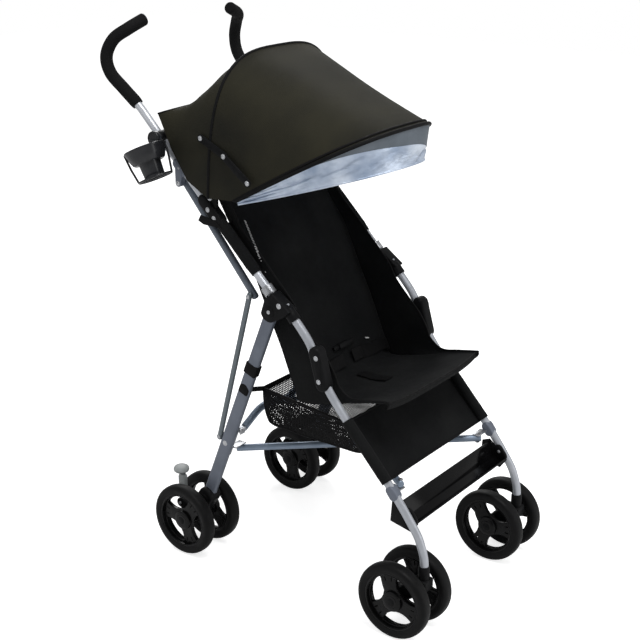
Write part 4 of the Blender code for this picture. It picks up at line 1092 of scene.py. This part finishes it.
# %% Casters
STEM = [(0.0, -0.004), (0.0118, -0.004), (0.0118, 0.0), (0.0052, 0.0), (0.0052, 0.0150), (0.0, 0.0150)]
SOCKET = [(0.0082, -0.0005), (0.0106, -0.0005), (0.0112, 0.0010), (0.0106, 0.0230), (0.0094, 0.0250),
          (0.0082, 0.0250)]

for side, s in SIDES:
    outline = [(STEM_Y - 0.0125, TUBE_END - 0.0006), (STEM_Y - 0.0125, 0.0960)]
    outline += arc(FRONT_AXLE, 0.0150, 225, 400, 16) + [(STEM_Y + 0.0160, TUBE_END - 0.0006)]
    fork = plate(outline, s * (FRONT_X - 0.0160), s * (FRONT_X + 0.0160), 0.0052, PLASTIC, 4)
    rib = plate(capsule((STEM_Y + 0.006, 0.1020), FRONT_AXLE, 0.0050, 0.0105, 10), s * (FRONT_X + 0.0148),
                s * (FRONT_X + 0.0172), 0.0009, PLASTIC, 2)
    foot = at(s * FRONT_X, STEM_Y, TUBE_END)
    stem = turned(STEM, foot, (0, 0, 1), PLASTIC, 28)
    fit(side, [fork, rib, stem] + axle_set(FRONT_X, FRONT_AXLE, FRONT_SPLAY, s), "trailing_fork", "caster",
        "caster_fork")
    socket = ring_of(SOCKET, foot, (0, 0.02, 1), PLASTIC, 32)
    fit(side, [socket], "caster_socket", "frame")

# %% [markdown]
# ## Footrest brackets and hood clips
# These are small mouldings clamped on the tubes: a flat cheek that holds the footrest, and a clip with
# a finger forward to the pin of the hood. A cloth flap is sewn over each hood clip.

# %% Footrest brackets
CHEEK = [(-0.2150, 0.2050), (-0.2180, 0.2460), (-0.2350, 0.2530), (-0.2700, 0.2240), (-0.2760, 0.2170),
         (-0.2610, 0.1960)]
SCREW = [(0.0, 0.0), (0.0034, 0.0), (0.0036, 0.0008), (0.0024, 0.0018), (0.0, 0.0021)]

for side, s in SIDES:
    cheek = plate(CHEEK, s * 0.1635, s * 0.1655, 0.0006, PLASTIC, 2)
    c, ahead = on_front(0.2280), on_front(0.24)
    clamp = plate(capsule(toward(c, ahead, -0.008), toward(c, ahead, 0.008), 0.0100), s * 0.1622,
                  s * 0.1690, 0.0020, PLASTIC, 3)
    head = turned(SCREW, at(s * 0.1624, *on_front(0.2310)), (-s, 0, 0), STEEL, 20)
    fit(side, [cheek, clamp, head], "footrest_cheek", "frame", "footrest_bracket")

# %% Hood clips
CLIP_SPOT = on_push(0.1925)
FLAP = [(0.1600, 0.7060), (0.2050, 0.7060), (0.2190, 0.7120), (0.2120, 0.7240), (0.1780, 0.7200)]

for side, s in SIDES:
    shell = plate(capsule(toward(CLIP_SPOT, PUSH_B, -0.024), toward(CLIP_SPOT, PUSH_B, 0.024), 0.0118),
                  s * 0.1650, s * 0.1870, 0.0050, PLASTIC, 4)
    finger = plate(capsule(HOOD_PIVOT, CLIP_SPOT, 0.0085, 0.0110), s * 0.1690, s * 0.1800, 0.0020, PLASTIC, 3)
    axis_pin = pin(0.1795, HOOD_PIVOT, s, 0.0022, 0.0085)
    heads = [rivet(0.1870, spot, s, 0.0036) for spot in ((0.1948, 0.7359), (0.1800, 0.7215))]
    flap = plate(FLAP, s * 0.1866, s * 0.1884, 0.0007, BINDING, 2)
    fit(side, [shell, finger, axis_pin, flap] + heads, "hood_mount", "frame", "hood_clip")

# %% [markdown]
# ## Hood struts
# On each side two flat links, end on end with three rivets, hold the hood open. They fold when it turns
# back, so the front one lies a plate's thickness further out than the rear one.

# %% Hood struts
STRUT_REAR = (0.2015, 0.8720)
STRUT_MID = (0.1440, 0.8460)
STRUT_FRONT = (0.0885, 0.8040)
STRUTS = (("rear", STRUT_REAR, STRUT_MID, 0.0074, 0.0070, 0.1909, 0.1938, [STRUT_REAR]),
          ("front", STRUT_MID, STRUT_FRONT, 0.0070, 0.0074, 0.1940, 0.1966, [STRUT_MID, STRUT_FRONT]))

for side, s in SIDES:
    for place, p, q, rp, rq, inner, outer, spots in STRUTS:
        bar = plate(capsule(p, q, rp, rq, 12), s * inner, s * outer, 0.0009, PLASTIC, 2)
        node = "strut_%s_%s" % (place, side)
        settle(joined([bar] + [rivet(outer, spot, s, 0.0036) for spot in spots]),
               "%s_strut_%s" % (place, side), node, [node])

# %% [markdown]
# ## Cup holder
# A slim turned cup with a wide skirt hangs in an open frame of thin rods, on a round clamp with a ribbed
# disc. The frame's rods stand in the plane that faces the camera, where the photograph shows them, and
# the whole holder can be tipped level.

# %% Clamp and cup
CUP_CLAMP = on_push(0.3170)
CUP_LEAN = math.radians(26)
CUP_AXIS = Vector((0, math.sin(CUP_LEAN), math.cos(CUP_LEAN)))
CUP_TOP = at(-0.2360, 0.3040, 0.8480)
CUP = [(0.0, -0.0588), (0.0186, -0.0588), (0.0196, -0.0574), (0.0212, -0.0310), (0.0226, -0.0262),
       (0.0285, -0.0286), (0.0318, -0.0262), (0.0368, -0.0140), (0.0394, -0.0040), (0.0408, -0.0014),
       (0.0408, 0.0004), (0.0398, 0.0012), (0.0376, 0.0), (0.0350, -0.0130), (0.0300, -0.0245),
       (0.0222, -0.0236), (0.0198, -0.0300), (0.0182, -0.0572), (0.0, -0.0574)]
grip = disc(CUP_CLAMP, 0.0135, -0.1880, -0.1645, 0.0030, PLASTIC, 3)
outer_band = disc(CUP_CLAMP, 0.0112, -0.1895, -0.1860, 0.0006, PLASTIC)
settle(joined([grip, outer_band]), "cup_collar", "frame_right", ["cup_clamp"])
cup = turned(CUP, CUP_TOP, CUP_AXIS, GLOSS, 56, 50)

# %% Ribbed disc, arm and open frame
def around(count):
    """Angles of evenly spaced spots round a circle."""
    return [2 * math.pi * k / count for k in range(count)]


RIB_CIRCLE = 0.0118
HOOP_R = 0.0325
HOOP_DROP = 0.0588
face = disc(CUP_CLAMP, 0.0150, -0.1992, -0.1886, 0.0018, GLOSS, 3, 41)
y, z = CUP_CLAMP
ribs = [plate(arc((y + RIB_CIRCLE * math.cos(a), z + RIB_CIRCLE * math.sin(a)), 0.0016, 0, 315, 7),
              -0.1999, -0.1985, 0.0, GLOSS) for a in around(12)]
arm = plate([(y - 0.0105, z - 0.0250), (y + 0.0060, z - 0.0250), (y + 0.0070, z), (y - 0.0110, z)],
            -0.2040, -0.1965, 0.0020, GLOSS, 3)
cross = CUP_AXIS.cross(back).normalized()
other = CUP_AXIS.cross(cross)
foot = CUP_TOP - CUP_AXIS * HOOP_DROP
ring = [foot + cross * (HOOP_R * math.cos(a)) + other * (HOOP_R * math.sin(a)) for a in around(36)]
hoop = [pipe(ring, 0.0019, GLOSS, 5, True), pipe([ring[0], ring[18]], 0.0023, GLOSS, 5)]
for way, low in ((1, ring[0]), (-1, ring[18])):
    top = CUP_TOP + cross * way * 0.0402 - CUP_AXIS * 0.0010
    hoop.append(pipe([top, top.lerp(low, 0.5) + cross * way * 0.0012, low], 0.0021, GLOSS, 5))
settle(joined([cup, face, arm] + ribs + hoop), "cup_and_ring", "cup",
       ["cup_holder"])
print("cup rim", [round(c, 3) for c in CUP_TOP])

# %% [markdown]
# ## Hood
# The hood is cloth stretched over two bows. Each row below is an arch over the seat, given by where it
# stands, how high it reaches, its half width and how square its shoulders are. Cloth pulled between two
# bows is nearly straight, so the rows in between are mixed from their neighbours, with a little sag and
# a few faint pull lines at the shoulders. The front part is meant to turn with the hood and the rear
# halves with the frame's sides, but all three are left unattached, with their places baked in.

# %% Arches
SEAM_ROW = ((0.1880, 0.7600), (0.1706, 1.0224), 0.1920, 3.3)
BRIM_ROW = ((0.1280, 0.7620), (-0.1276, 0.8992), 0.1830, 2.8)
REAR_ROWS = [((0.3160, 0.9030), (0.2500, 0.9260), 0.1830, 1.9),
             ((0.2800, 0.8400), (0.2260, 0.9660), 0.1870, 3.2),
             ((0.2420, 0.7860), (0.1970, 0.9990), 0.1895, 3.4), SEAM_ROW]
FRONT_ROWS = [SEAM_ROW, ((0.1670, 0.7607), (0.0710, 0.9810), 0.1890, 3.1),
              ((0.1470, 0.7613), (-0.0280, 0.9400), 0.1860, 2.9), BRIM_ROW]
ARCH_STEPS = 56
INSIDE = at(0, 0.06, 0.70)


def arch(row, grow=0.0):
    """Points of one bow line, from the right foot over the top to the left foot."""
    foot, apex, half_width, power = row
    out = []
    for i in range(ARCH_STEPS + 1):
        t = math.pi * i / ARCH_STEPS
        c = math.cos(t)
        h = abs(math.sin(t)) ** (2 / power)
        x = -math.copysign(abs(c) ** (2 / power), c) * (half_width + grow)
        out.append(at(x, foot[0] + h * (apex[0] - foot[0]), foot[1] + h * (apex[1] + grow - foot[1])))
    return out


def between(rows, per, sag, ripple, seed):
    """Rows of cloth between the bow lines, pulled straight and sagging a little."""
    lines = [arch(row) for row in rows]
    out = []
    for n, (a, b) in enumerate(zip(lines, lines[1:])):
        for k in range(per + (n == len(lines) - 2)):
            t = k / per
            whole = (n + t) / (len(lines) - 1)
            row = []
            for i, (p, q) in enumerate(zip(a, b)):
                point = p.lerp(q, t)
                inward = (INSIDE - point).normalized()
                dip = sag * math.sin(math.pi * whole) * math.sin(math.pi * i / ARCH_STEPS)
                wave = noise.noise(Vector((point.x * 16, point.y * 9, point.z * 9)) + Vector((seed, 0, 0)))
                row.append(point + inward * (dip + ripple * wave * math.sin(math.pi * whole)))
            out.append(row)
    return out


front_rows = between(FRONT_ROWS, 8, 0.0030, 0.0012, 3.0)
rear_rows = between(REAR_ROWS, 6, 0.0020, 0.0015, 8.0)
print("front hood", size_of(front_rows), "rear hood", size_of(rear_rows))

# %% Front hood with its seam and brim
def lined_cloth(rows, outer, inner, thickness):
    """Cloth whose inner side has its own finish."""
    obj = loft([list(reversed(row)) for row in rows], outer)
    obj.data.materials.append(inner)
    mod = obj.modifiers.new("lining", "SOLIDIFY")
    mod.thickness = thickness
    mod.offset = 0.0
    mod.material_offset = 1
    mod.material_offset_rim = 0
    apply_all(obj)
    return soften(obj, 60)


HOOD_WALL = 0.0016
BRIM_EDGE = ((0.1330, 0.7623), (-0.1175, 0.9037), 0.1834, 2.8)
turning = ("centre", "hood", at(0, 0.1880, 0.9), at(0, 0.0700, 0.9))
front_cloth = lined_cloth(front_rows, HOOD, SATIN, HOOD_WALL)
pipings = [pipe(arch(row, grow), radius, BINDING, 6) for row, grow, radius in
           ((SEAM_ROW, 0.0004, 0.0030), (BRIM_ROW, 0.0006, 0.0036), (BRIM_EDGE, 0.0002, 0.0028))]
front_hood = joined([front_cloth] + pipings)
settle(front_hood, "hood_cloth_front", turning, ["hood_front"])

# %% Rear hood
for side, s in SIDES:
    half = [row[:ARCH_STEPS // 2 + 1] if s < 0 else row[ARCH_STEPS // 2:] for row in rear_rows]
    cloth = lined_cloth(half, HOOD, CLOTH, HOOD_WALL)
    hem = pipe(half[0], 0.0019, BINDING, 6)
    rear_half = joined([cloth, hem])
    settle(rear_half, "hood_cloth_rear_" + side,
           ("centre", "frame_" + side, at(0, 0.2500, 0.9), at(s * 0.0365, 0.3632, 0.9)),
           ["hood_rear"])

# %% [markdown]
# ## Visor and bow
# Under the brim hangs a gathered visor of silver satin, and above it, more and more towards the far
# side, a stretch of plain grey lining. Both are lofts between the brim and the visor's lower edge, and
# two noises that slant along the visor push it in and out, because gathered cloth falls in slanting
# folds. Behind it a wire bow carries the cloth down to the pins of the hood clips.

# %% Visor
VISOR_ROWS = [((0.1280, 0.7620), (-0.1276, 0.8992), 0.1822, 2.8),
              ((0.1270, 0.7590), (-0.1330, 0.8660), 0.1802, 2.4),
              ((0.1260, 0.7560), (-0.1367, 0.8335), 0.1790, 2.15)]
VISOR_STEPS = 24
FOLD_DEPTH = 0.0120
visor_lines = between(VISOR_ROWS, 8, 0.0, 0.0, 1.0)


def visor_point(i, t):
    """A point of the visor under bow point i, t of the way from the brim to the lower edge."""
    n = min(int(t * 16), 15)
    return visor_lines[n][i].lerp(visor_lines[n + 1][i], t * 16 - n)


def lining_share(i):
    """How much of the visor's height shows the plain lining: none near, most of it on the far side."""
    u = i / ARCH_STEPS
    return 0.03 + 0.62 * max(0.0, min(1.0, (u - 0.16) / 0.50)) ** 1.1


def folded(point, k):
    """A visor point pushed inwards by the folds, deepest halfway down."""
    slant = point.x * 34 + k * 0.10
    fold = noise.noise(Vector((slant, point.z * 20, 5.0)))
    fold += 0.5 * noise.noise(Vector((slant * 2.3, point.z * 45, 9.0)))
    depth = math.sin(math.pi * k / VISOR_STEPS)
    return point + (INSIDE - point).normalized() * (0.0010 + FOLD_DEPTH * depth * (0.25 + fold))


columns = range(ARCH_STEPS + 1)
lining_rows = [[visor_point(i, lining_share(i) * k / 4) for i in columns] for k in range(5)]
visor_rows = [[folded(visor_point(i, lining_share(i) + (1 - lining_share(i)) * k / VISOR_STEPS), k)
               for i in columns] for k in range(VISOR_STEPS + 1)]
print("visor", size_of(visor_rows))
lining = lined_cloth(lining_rows, LINING, SATIN, 0.0012)
visor = lined_cloth(visor_rows, SATIN, SATIN, 0.0012)
visor = joined([visor, lining, pipe(visor_rows[-1], 0.0021, SATIN, 6)])
settle(visor, "satin_visor", turning)

# %% Wire bow
bow_line = arch((HOOD_PIVOT, (-0.1080, 0.8850), 0.1750, 2.9))
bow_line[0] = at(-0.1843, *HOOD_PIVOT)
bow_line[-1] = at(0.1843, *HOOD_PIVOT)
bow = pipe(bow_line, 0.0024, STEEL, 6)
eyes = [ring_of([(0.0024, 0.0), (0.0058, 0.0), (0.0058, 0.0036), (0.0024, 0.0036)],
                at(s * 0.1825, *HOOD_PIVOT), (s, 0, 0), STEEL, 20) for s in (-1, 1)]
settle(joined([bow] + eyes), "bent_hood_bow", "hood", ["hood_bow"])

# %% [markdown]
# ## Footrest
# The footrest is a glossy channel between the two brackets. Like every soft piece that spans the frame,
# it is handed to the middle body with a mesh of its own.

# %% Footrest channel
def narrowed(obj):
    """Give a piece of the middle its own mesh."""
    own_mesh(obj)
    return obj


CHANNEL = [(-0.2365, 0.2490), (-0.2460, 0.2170), (-0.2620, 0.2120), (-0.2735, 0.2210), (-0.2755, 0.2185),
           (-0.2640, 0.2080), (-0.2440, 0.2125), (-0.2330, 0.2480)]
channel = plate(CHANNEL, -0.1632, 0.1632, 0.0007, FOOTREST, 3)
narrowed(settle(channel, "footrest_channel", "centre", ["footrest_band"]))
print("footrest", [round(v, 3) for v in channel.dimensions])

# %% [markdown]
# ## Seat
# The seat is one hammock of black cloth: a back, a crease, a base and two side wings that stand up to
# the tubes. Three lines in the side view describe it: the middle, the outer corner and the free edge of
# the wing. A wave of noise puckers it, most of all near the crease, and little at the wings.

# %% Lines of the seat
SEAT_MIDDLE = [(0.1990, 0.7680), (0.1650, 0.7220), (0.1280, 0.6720), (0.1000, 0.6280), (0.0700, 0.5760),
               (0.0440, 0.5250), (0.0240, 0.4700), (0.0080, 0.4250), (-0.0140, 0.4010), (-0.0600, 0.3970),
               (-0.1200, 0.4040), (-0.1600, 0.4140), (-0.2000, 0.4240)]
SEAT_CORNER = [(0.2010, 0.7620), (0.1600, 0.6950), (0.1280, 0.6550), (0.1060, 0.6100), (0.0780, 0.5500),
               (0.0500, 0.4920), (0.0300, 0.4450), (0.0140, 0.4080), (0.0020, 0.3840), (-0.0500, 0.3930),
               (-0.1100, 0.4100), (-0.1590, 0.4235), (-0.1970, 0.4320)]
SEAT_EDGE = [(0.1680, 0.7620), (0.1420, 0.7100), (0.0960, 0.6640), (0.0480, 0.6150), (0.0150, 0.5810),
             (-0.0050, 0.5480), (-0.0370, 0.5140), (-0.0620, 0.4900), (-0.0800, 0.4620), (-0.0920, 0.4380),
             (-0.1200, 0.4225), (-0.1600, 0.4290), (-0.2030, 0.4370)]
WING_X = 0.1580
LINE_STEPS = 5
MIDDLE_STEPS = 18
WING_STEPS = 10
WING_BOW = 0.003
CREASE_ROW = 46
middle, corner, edge = [flow([Vector((0, y, z)) for y, z in line], LINE_STEPS)
                        for line in (SEAT_MIDDLE, SEAT_CORNER, SEAT_EDGE)]
print("seat rows", len(middle))

# %% Seat cloth
def half_row(m, c, e):
    """One row of the seat from its middle m over the corner c to the wing's edge e."""
    base_x = WING_X - WING_BOW
    out = []
    for i in range(MIDDLE_STEPS + 1):
        u = math.sin(math.pi / 2 * i / MIDDLE_STEPS)
        place = m.lerp(c, u ** 4)
        out.append(Vector((base_x * u, place.y, place.z)))
    for i in range(1, WING_STEPS + 1):
        t = i / WING_STEPS
        place = c.lerp(e, t)
        out.append(Vector((base_x + WING_BOW * math.sin(math.pi * min(1, t * 1.4) / 2), place.y, place.z)))
    return out


def puckered(p, k):
    """A seat point of row k moved by the puckers."""
    rough = 0.0014 + 0.0052 * max(0.0, 1 - abs(k - CREASE_ROW) / 15)
    wave = noise.noise(Vector((p.x * 14, p.y * 22, p.z * 22 + 4))) + 0.4 * noise.noise(p * 55)
    inward = min(1.0, (WING_X - abs(p.x)) / 0.02 + 0.15)
    return at(p.x, p.y - rough * wave * inward, p.z + rough * wave * inward)


seat_rows = []
for k, (m, c, e) in enumerate(zip(middle, corner, edge)):
    half = half_row(m, c, e)
    row = [Vector((-p.x, p.y, p.z)) for p in reversed(half[1:])] + half
    seat_rows.append([puckered(p, k) for p in row])
print("seat", size_of(seat_rows), "rows", len(seat_rows))
seat = loft(seat_rows, CLOTH, 0.0018)

# %% Hems of the seat
edges = [pipe([row[j] for row in seat_rows], 0.0016, BINDING, 5) for j in (0, -1)]
hems = [pipe(seat_rows[j], 0.0021, BINDING, 6) for j in (-1, 0)]
band_rows = [[p + Vector((0, dy, dz)) for p in seat_rows[-1]] for dy, dz in
             ((0.0, 0.0), (-0.0016, -0.0040), (-0.0010, -0.0080), (0.0010, -0.0115))]
band = loft(band_rows, CLOTH, 0.0016)
seat = joined([seat] + hems + [band] + edges)
narrowed(settle(seat, "seat_cloth", "centre", ["seat_panel"]))

# %% Sleeves round the push tubes
SLEEVE_SPAN = (0.0860, 0.1720)
SLEEVE_STEPS = 24
for side, s in SIDES:
    a, b = [at(s * PUSH_X, *on_push(y)) for y in SLEEVE_SPAN]
    line = [a.lerp(b, t / SLEEVE_STEPS) for t in range(SLEEVE_STEPS + 1)]
    bulk = [0.86 + 0.14 * min(1, t / 4) + 0.03 * noise.noise(Vector((t * 0.7, s, 0)))
            for t in range(SLEEVE_STEPS + 1)]
    sleeve = pipe(line, 0.0112, CLOTH, 8, radii=bulk)
    web = loft([[at(s * x, *on_push(0.0900 + 0.0780 * t / 12)) + Vector((0, 0.003 * w, -0.003 * w))
                 for x, w in ((WING_X - 0.001, 0), (0.1660, 1), (0.1700, 2))] for t in range(13)],
               CLOTH, 0.0030)
    fit(side, [sleeve, web], "push_tube_sleeve", "frame", "seat_side")

# %% [markdown]
# ## Harness
# Straps are narrow lofts laid a little in front of the seat, and the buckle is three small plates. A
# helper drops a point onto the cloth along the line of sight, so that a stitch lies where it is seen.

# %% Placing things on the cloth
def onto(piece, point, lift):
    """Where the line of sight through a point meets a piece, lifted a little towards the camera."""
    sight = (point - CAMERA).normalized()
    hit, place = piece.ray_cast(point - sight * 0.25, sight)[:2]
    return (place if hit else point) - sight * lift


def seat_point(x, row):
    """The point of a row of the seat cloth that is nearest to x."""
    return min(seat_rows[row], key=lambda p: abs(p.x - MID_X - x))


def strap(points, width, across):
    """A flat web strap through points; across is the direction of its width."""
    rows = [[p + across * w for w in (-width / 2, 0, width / 2)] for p in flow(points, 5)]
    return loft(rows, BINDING, 0.0014)


print("crease of the seat at", [round(c, 3) for c in seat_point(0, CREASE_ROW)])

# %% Straps and buckle
WAIST_ROW = 36
CROTCH_ROW = 48
WEB_LEAN = Vector((0, 0.42, 0.91))
bits = []
for s in (-1, 1):
    waist = [seat_point(s * (0.150 - 0.0165 * k), WAIST_ROW)
             + Vector((0, -0.0040, 0.0040 + 0.002 * math.sin(k))) for k in range(9)]
    bits.append(strap(waist, 0.024, WEB_LEAN))
crotch = [seat_point(0.0, CROTCH_ROW - k) + Vector((0, 0, 0.0035)) for k in range(0, 8, 2)]
bits.append(strap(crotch, 0.026, Vector((1, 0, 0))))
straps = joined(bits)
narrowed(settle(straps, "harness_straps", "centre"))

BUCKLE = [(0.0150, 0.4440), (0.0180, 0.4530), (0.0105, 0.4570), (0.0060, 0.4470)]
PRONG = [(0.0140, 0.4455), (0.0165, 0.4520), (0.0125, 0.4545), (0.0095, 0.4470)]
buckle = plate(BUCKLE, -0.0175, 0.0175, 0.0022, PLASTIC, 3)
prongs = [plate(PRONG, s * 0.0170, s * 0.0330, 0.0014, PLASTIC, 2) for s in (-1, 1)]
settle(joined([buckle] + prongs), "waist_buckle", "centre", ["lap_buckle"])

# %% Stitches and the adjuster
STITCH_R = 0.0008
STITCH_COUNT = 24
STITCH_TOP, STITCH_LOW = Vector((-0.17, 0.1176, 0.7236)), Vector((-0.17, 0.0830, 0.6584))
LOOSE_STITCHES = ((0.0807, 0.6530), (0.0703, 0.6335))
ADJUSTER = [(0.0540, -0.0095, 0.4530), (0.0600, 0.0020, 0.4490), (0.0800, 0.0120, 0.4400)]


def stitch(point, turn):
    """A short thread that lies on the seat where the point is seen."""
    p = onto(seat, point, 0.0006)
    return pipe([p - turn, p + turn], STITCH_R, STITCH, 3)


spots = [onto(seat, at(*p), 0.0045) for p in ADJUSTER]
bits = [pipe([a, b], 0.0014, STITCH, 5) for a, b in zip(spots, spots[1:])]
for k in range(STITCH_COUNT):
    turn = Vector((0.0016, -0.0010, 0.0007)) if k % 2 else Vector((-0.0014, 0.0008, 0.0009))
    bits.append(stitch(at(*STITCH_TOP.lerp(STITCH_LOW, k / (STITCH_COUNT - 1))), turn))
bits += [stitch(at(STITCH_TOP.x, y, z), Vector((0, 0, STITCH_R))) for y, z in LOOSE_STITCHES]
narrowed(settle(joined(bits), "stitches_and_adjuster", "centre"))

# %% [markdown]
# ## Calf panel
# A flat panel of the same cloth hangs between the front tubes, below the seat, on two sleeves. Its rows
# follow the bent tubes and stand a little behind them, where the sleeves meet the cloth.

# %% Calf panel
CALF_TOP, CALF_LOW = 0.3835, 0.2880
CALF_HALF = 0.1740
CALF_BEHIND = 0.0092
calf_rows = []
for k in range(17):
    z = CALF_TOP + (CALF_LOW - CALF_TOP) * k / 16
    here, ahead = on_front(z), on_front(z - 0.004)
    run = Vector((0, ahead[0] - here[0], ahead[1] - here[1])).normalized()
    away = Vector((0, -run.z, run.y))
    row = []
    for i in range(41):
        u = i / 20 - 1
        x = CALF_HALF * u
        wave = noise.noise(Vector((x * 12, z * 16, 2.0))) + 0.5 * noise.noise(Vector((x * 34, z * 30, 7.0)))
        depth = CALF_BEHIND - 0.0010 * abs(u) ** 6 + 0.0016 * wave * (1 - abs(u) ** 6)
        row.append(at(x, *here) + away * depth)
    calf_rows.append(row)
print("calf panel", size_of(calf_rows))
hems = [pipe(calf_rows[0], 0.0020, BINDING, 6), pipe(calf_rows[-1], 0.0022, BINDING, 6)]
calf = joined([loft(calf_rows, CLOTH, 0.0018)] + hems)
narrowed(settle(calf, "calf_cloth", "centre", ["calf_panel"]))

# %% Sleeves of the calf panel
for side, s in SIDES:
    line = [at(s * FRONT_X, *on_front(0.3850 + (0.2870 - 0.3850) * t / 24)) for t in range(25)]
    bulk = [1.0 + 0.04 * noise.noise(Vector((t * 0.6, s, 3.0))) for t in range(25)]
    sleeve = pipe(line, 0.0108, CLOTH, 8, radii=bulk)
    fit(side, [sleeve], "calf_sleeve", "frame")

# %% [markdown]
# ## Basket
# The basket is a net. A fine grid is laid through sagging rows, every face is inset and the middle of
# each face is deleted, which leaves the threads: real holes, at four faces each. The two ends are grids
# of their own between the net's edge and the straight line over it.

# %% Net
NET_THREAD = 0.00112


def net(rows):
    """Threads left from a grid when the middle of every face is cut out."""
    obj = loft(rows, NET)
    take(obj)
    bpy.ops.object.mode_set(mode="EDIT")
    bpy.ops.mesh.select_mode(type="FACE")
    bpy.ops.mesh.select_all(action="SELECT")
    bpy.ops.mesh.inset(thickness=NET_THREAD, use_individual=True, use_boundary=True)
    bpy.ops.mesh.delete(type="FACE")
    bpy.ops.object.mode_set(mode="OBJECT")
    return obj


def resample(line, count):
    """Evenly spaced points along a line."""
    lengths = [0.0]
    for a, b in zip(line, line[1:]):
        lengths.append(lengths[-1] + (b - a).length)
    out = []
    for k in range(count):
        d = lengths[-1] * k / (count - 1)
        n = max(i for i in range(len(lengths)) if lengths[i] <= d + 1e-9)
        n = min(n, len(line) - 2)
        out.append(line[n].lerp(line[n + 1], (d - lengths[n]) / (lengths[n + 1] - lengths[n])))
    return out


print("net tools ready")

# %% Floor and walls of the basket
BASKET = [(0.1040, 0.3800), (0.1035, 0.3450), (0.1000, 0.3080), (0.0900, 0.2950), (0.0400, 0.2915),
          (-0.0500, 0.2915), (-0.1180, 0.2930), (-0.1320, 0.3050), (-0.1230, 0.3300), (-0.1150, 0.3560)]
NET_ROWS, NET_COLUMNS = 84, 59
RIM_Z, NET_DEPTH = 0.375, 0.080
path_line = resample(flow([Vector((0, y, z)) for y, z in BASKET], 8), NET_ROWS)
net_rows = []
for k, p in enumerate(path_line):
    low = max(0.0, min(1.0, (RIM_Z - p.z) / NET_DEPTH))
    row = []
    for i in range(NET_COLUMNS):
        u = 2 * i / (NET_COLUMNS - 1) - 1
        curl = 1 - 0.07 * low * low
        sag = 0.001 * low * (1 - u * u)
        wave = 0.0022 * low * noise.noise(Vector((u * 4, k * 0.12, 1.0)))
        row.append(at(0.1400 * u * curl, p.y, p.z + sag + wave + 0.010 * low * abs(u) ** 10))
    net_rows.append(row)
nets = [net(net_rows)]
print("basket floor", size_of(net_rows))

# %% Ends of the basket
END_ROWS, END_COLUMNS = 18, 47
rims = []
for s in (-1, 1):
    ring = [row[0 if s < 0 else -1] for row in net_rows]
    top = [ring[0].lerp(ring[-1], t / (END_COLUMNS - 1)) for t in range(END_COLUMNS)]
    bottom = resample(ring, END_COLUMNS)
    rows = []
    for j in range(END_ROWS):
        t = j / (END_ROWS - 1)
        bulge = Vector((s * 0.004 * math.sin(math.pi * t), 0, 0))
        rows.append([a.lerp(b, t) + bulge for a, b in zip(top, bottom)])
    nets.append(net(rows))
    rims += [pipe(ring, 0.0021, BINDING, 5), pipe(top, 0.0026, BINDING, 5)]
rims += [pipe(net_rows[j], 0.0026, BINDING, 5) for j in (0, -1)]
basket_net = joined(nets)
mod = basket_net.modifiers.new("thread", "SOLIDIFY")
mod.thickness = 0.0006
apply_all(basket_net)
narrowed(settle(basket_net, "basket_net", "centre", ["basket"]))

# %% Rim, straps and loops
STRAP_WIDTH = 0.0100
UP = Vector((0, 0, 1))
LEG_LOOP = on_leg(0.3850)
rear = net_rows[0]
hem_rows = [[p + Vector((0, 0.0010, dz)) for p in rear] for dz in (0.004, 0.0, -0.004, -0.0075)]
rims.append(loft(hem_rows, BINDING, 0.0016))
for s in (-1, 1):
    tail = 0 if s < 0 else -1
    for start, end, back_by in (
            (rear[tail], at(s * 0.1770, LEG_LOOP[0] - 0.004, LEG_LOOP[1] + 0.002), (-s * 0.010, 0, -0.002)),
            (net_rows[-1][tail], at(s * FRONT_X, *on_front(0.3620)), (-s * 0.008, 0, 0))):
        rims.append(strap([start + Vector(back_by), start, start.lerp(end, 0.5), end], STRAP_WIDTH, UP))
narrowed(settle(joined(rims), "basket_rim_and_straps", "centre"))
for side, s in SIDES:
    y, z = LEG_LOOP
    loop = plate(leg_outline(0.0118, (y - 0.0024, z + 0.006), (y + 0.0024, z - 0.006)),
                 s * (REAR_X - 0.0085), s * (REAR_X + 0.0085), 0.0035, BINDING, 3)
    fit(side, [loop], "basket_loop", "leg")

# %% [markdown]
# ## Measures
# The box of what is shown now is printed at the end.

# %% The size shown now
low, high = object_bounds()
print("box shown now", [round(b - a, 4) for a, b in zip(low, high)])
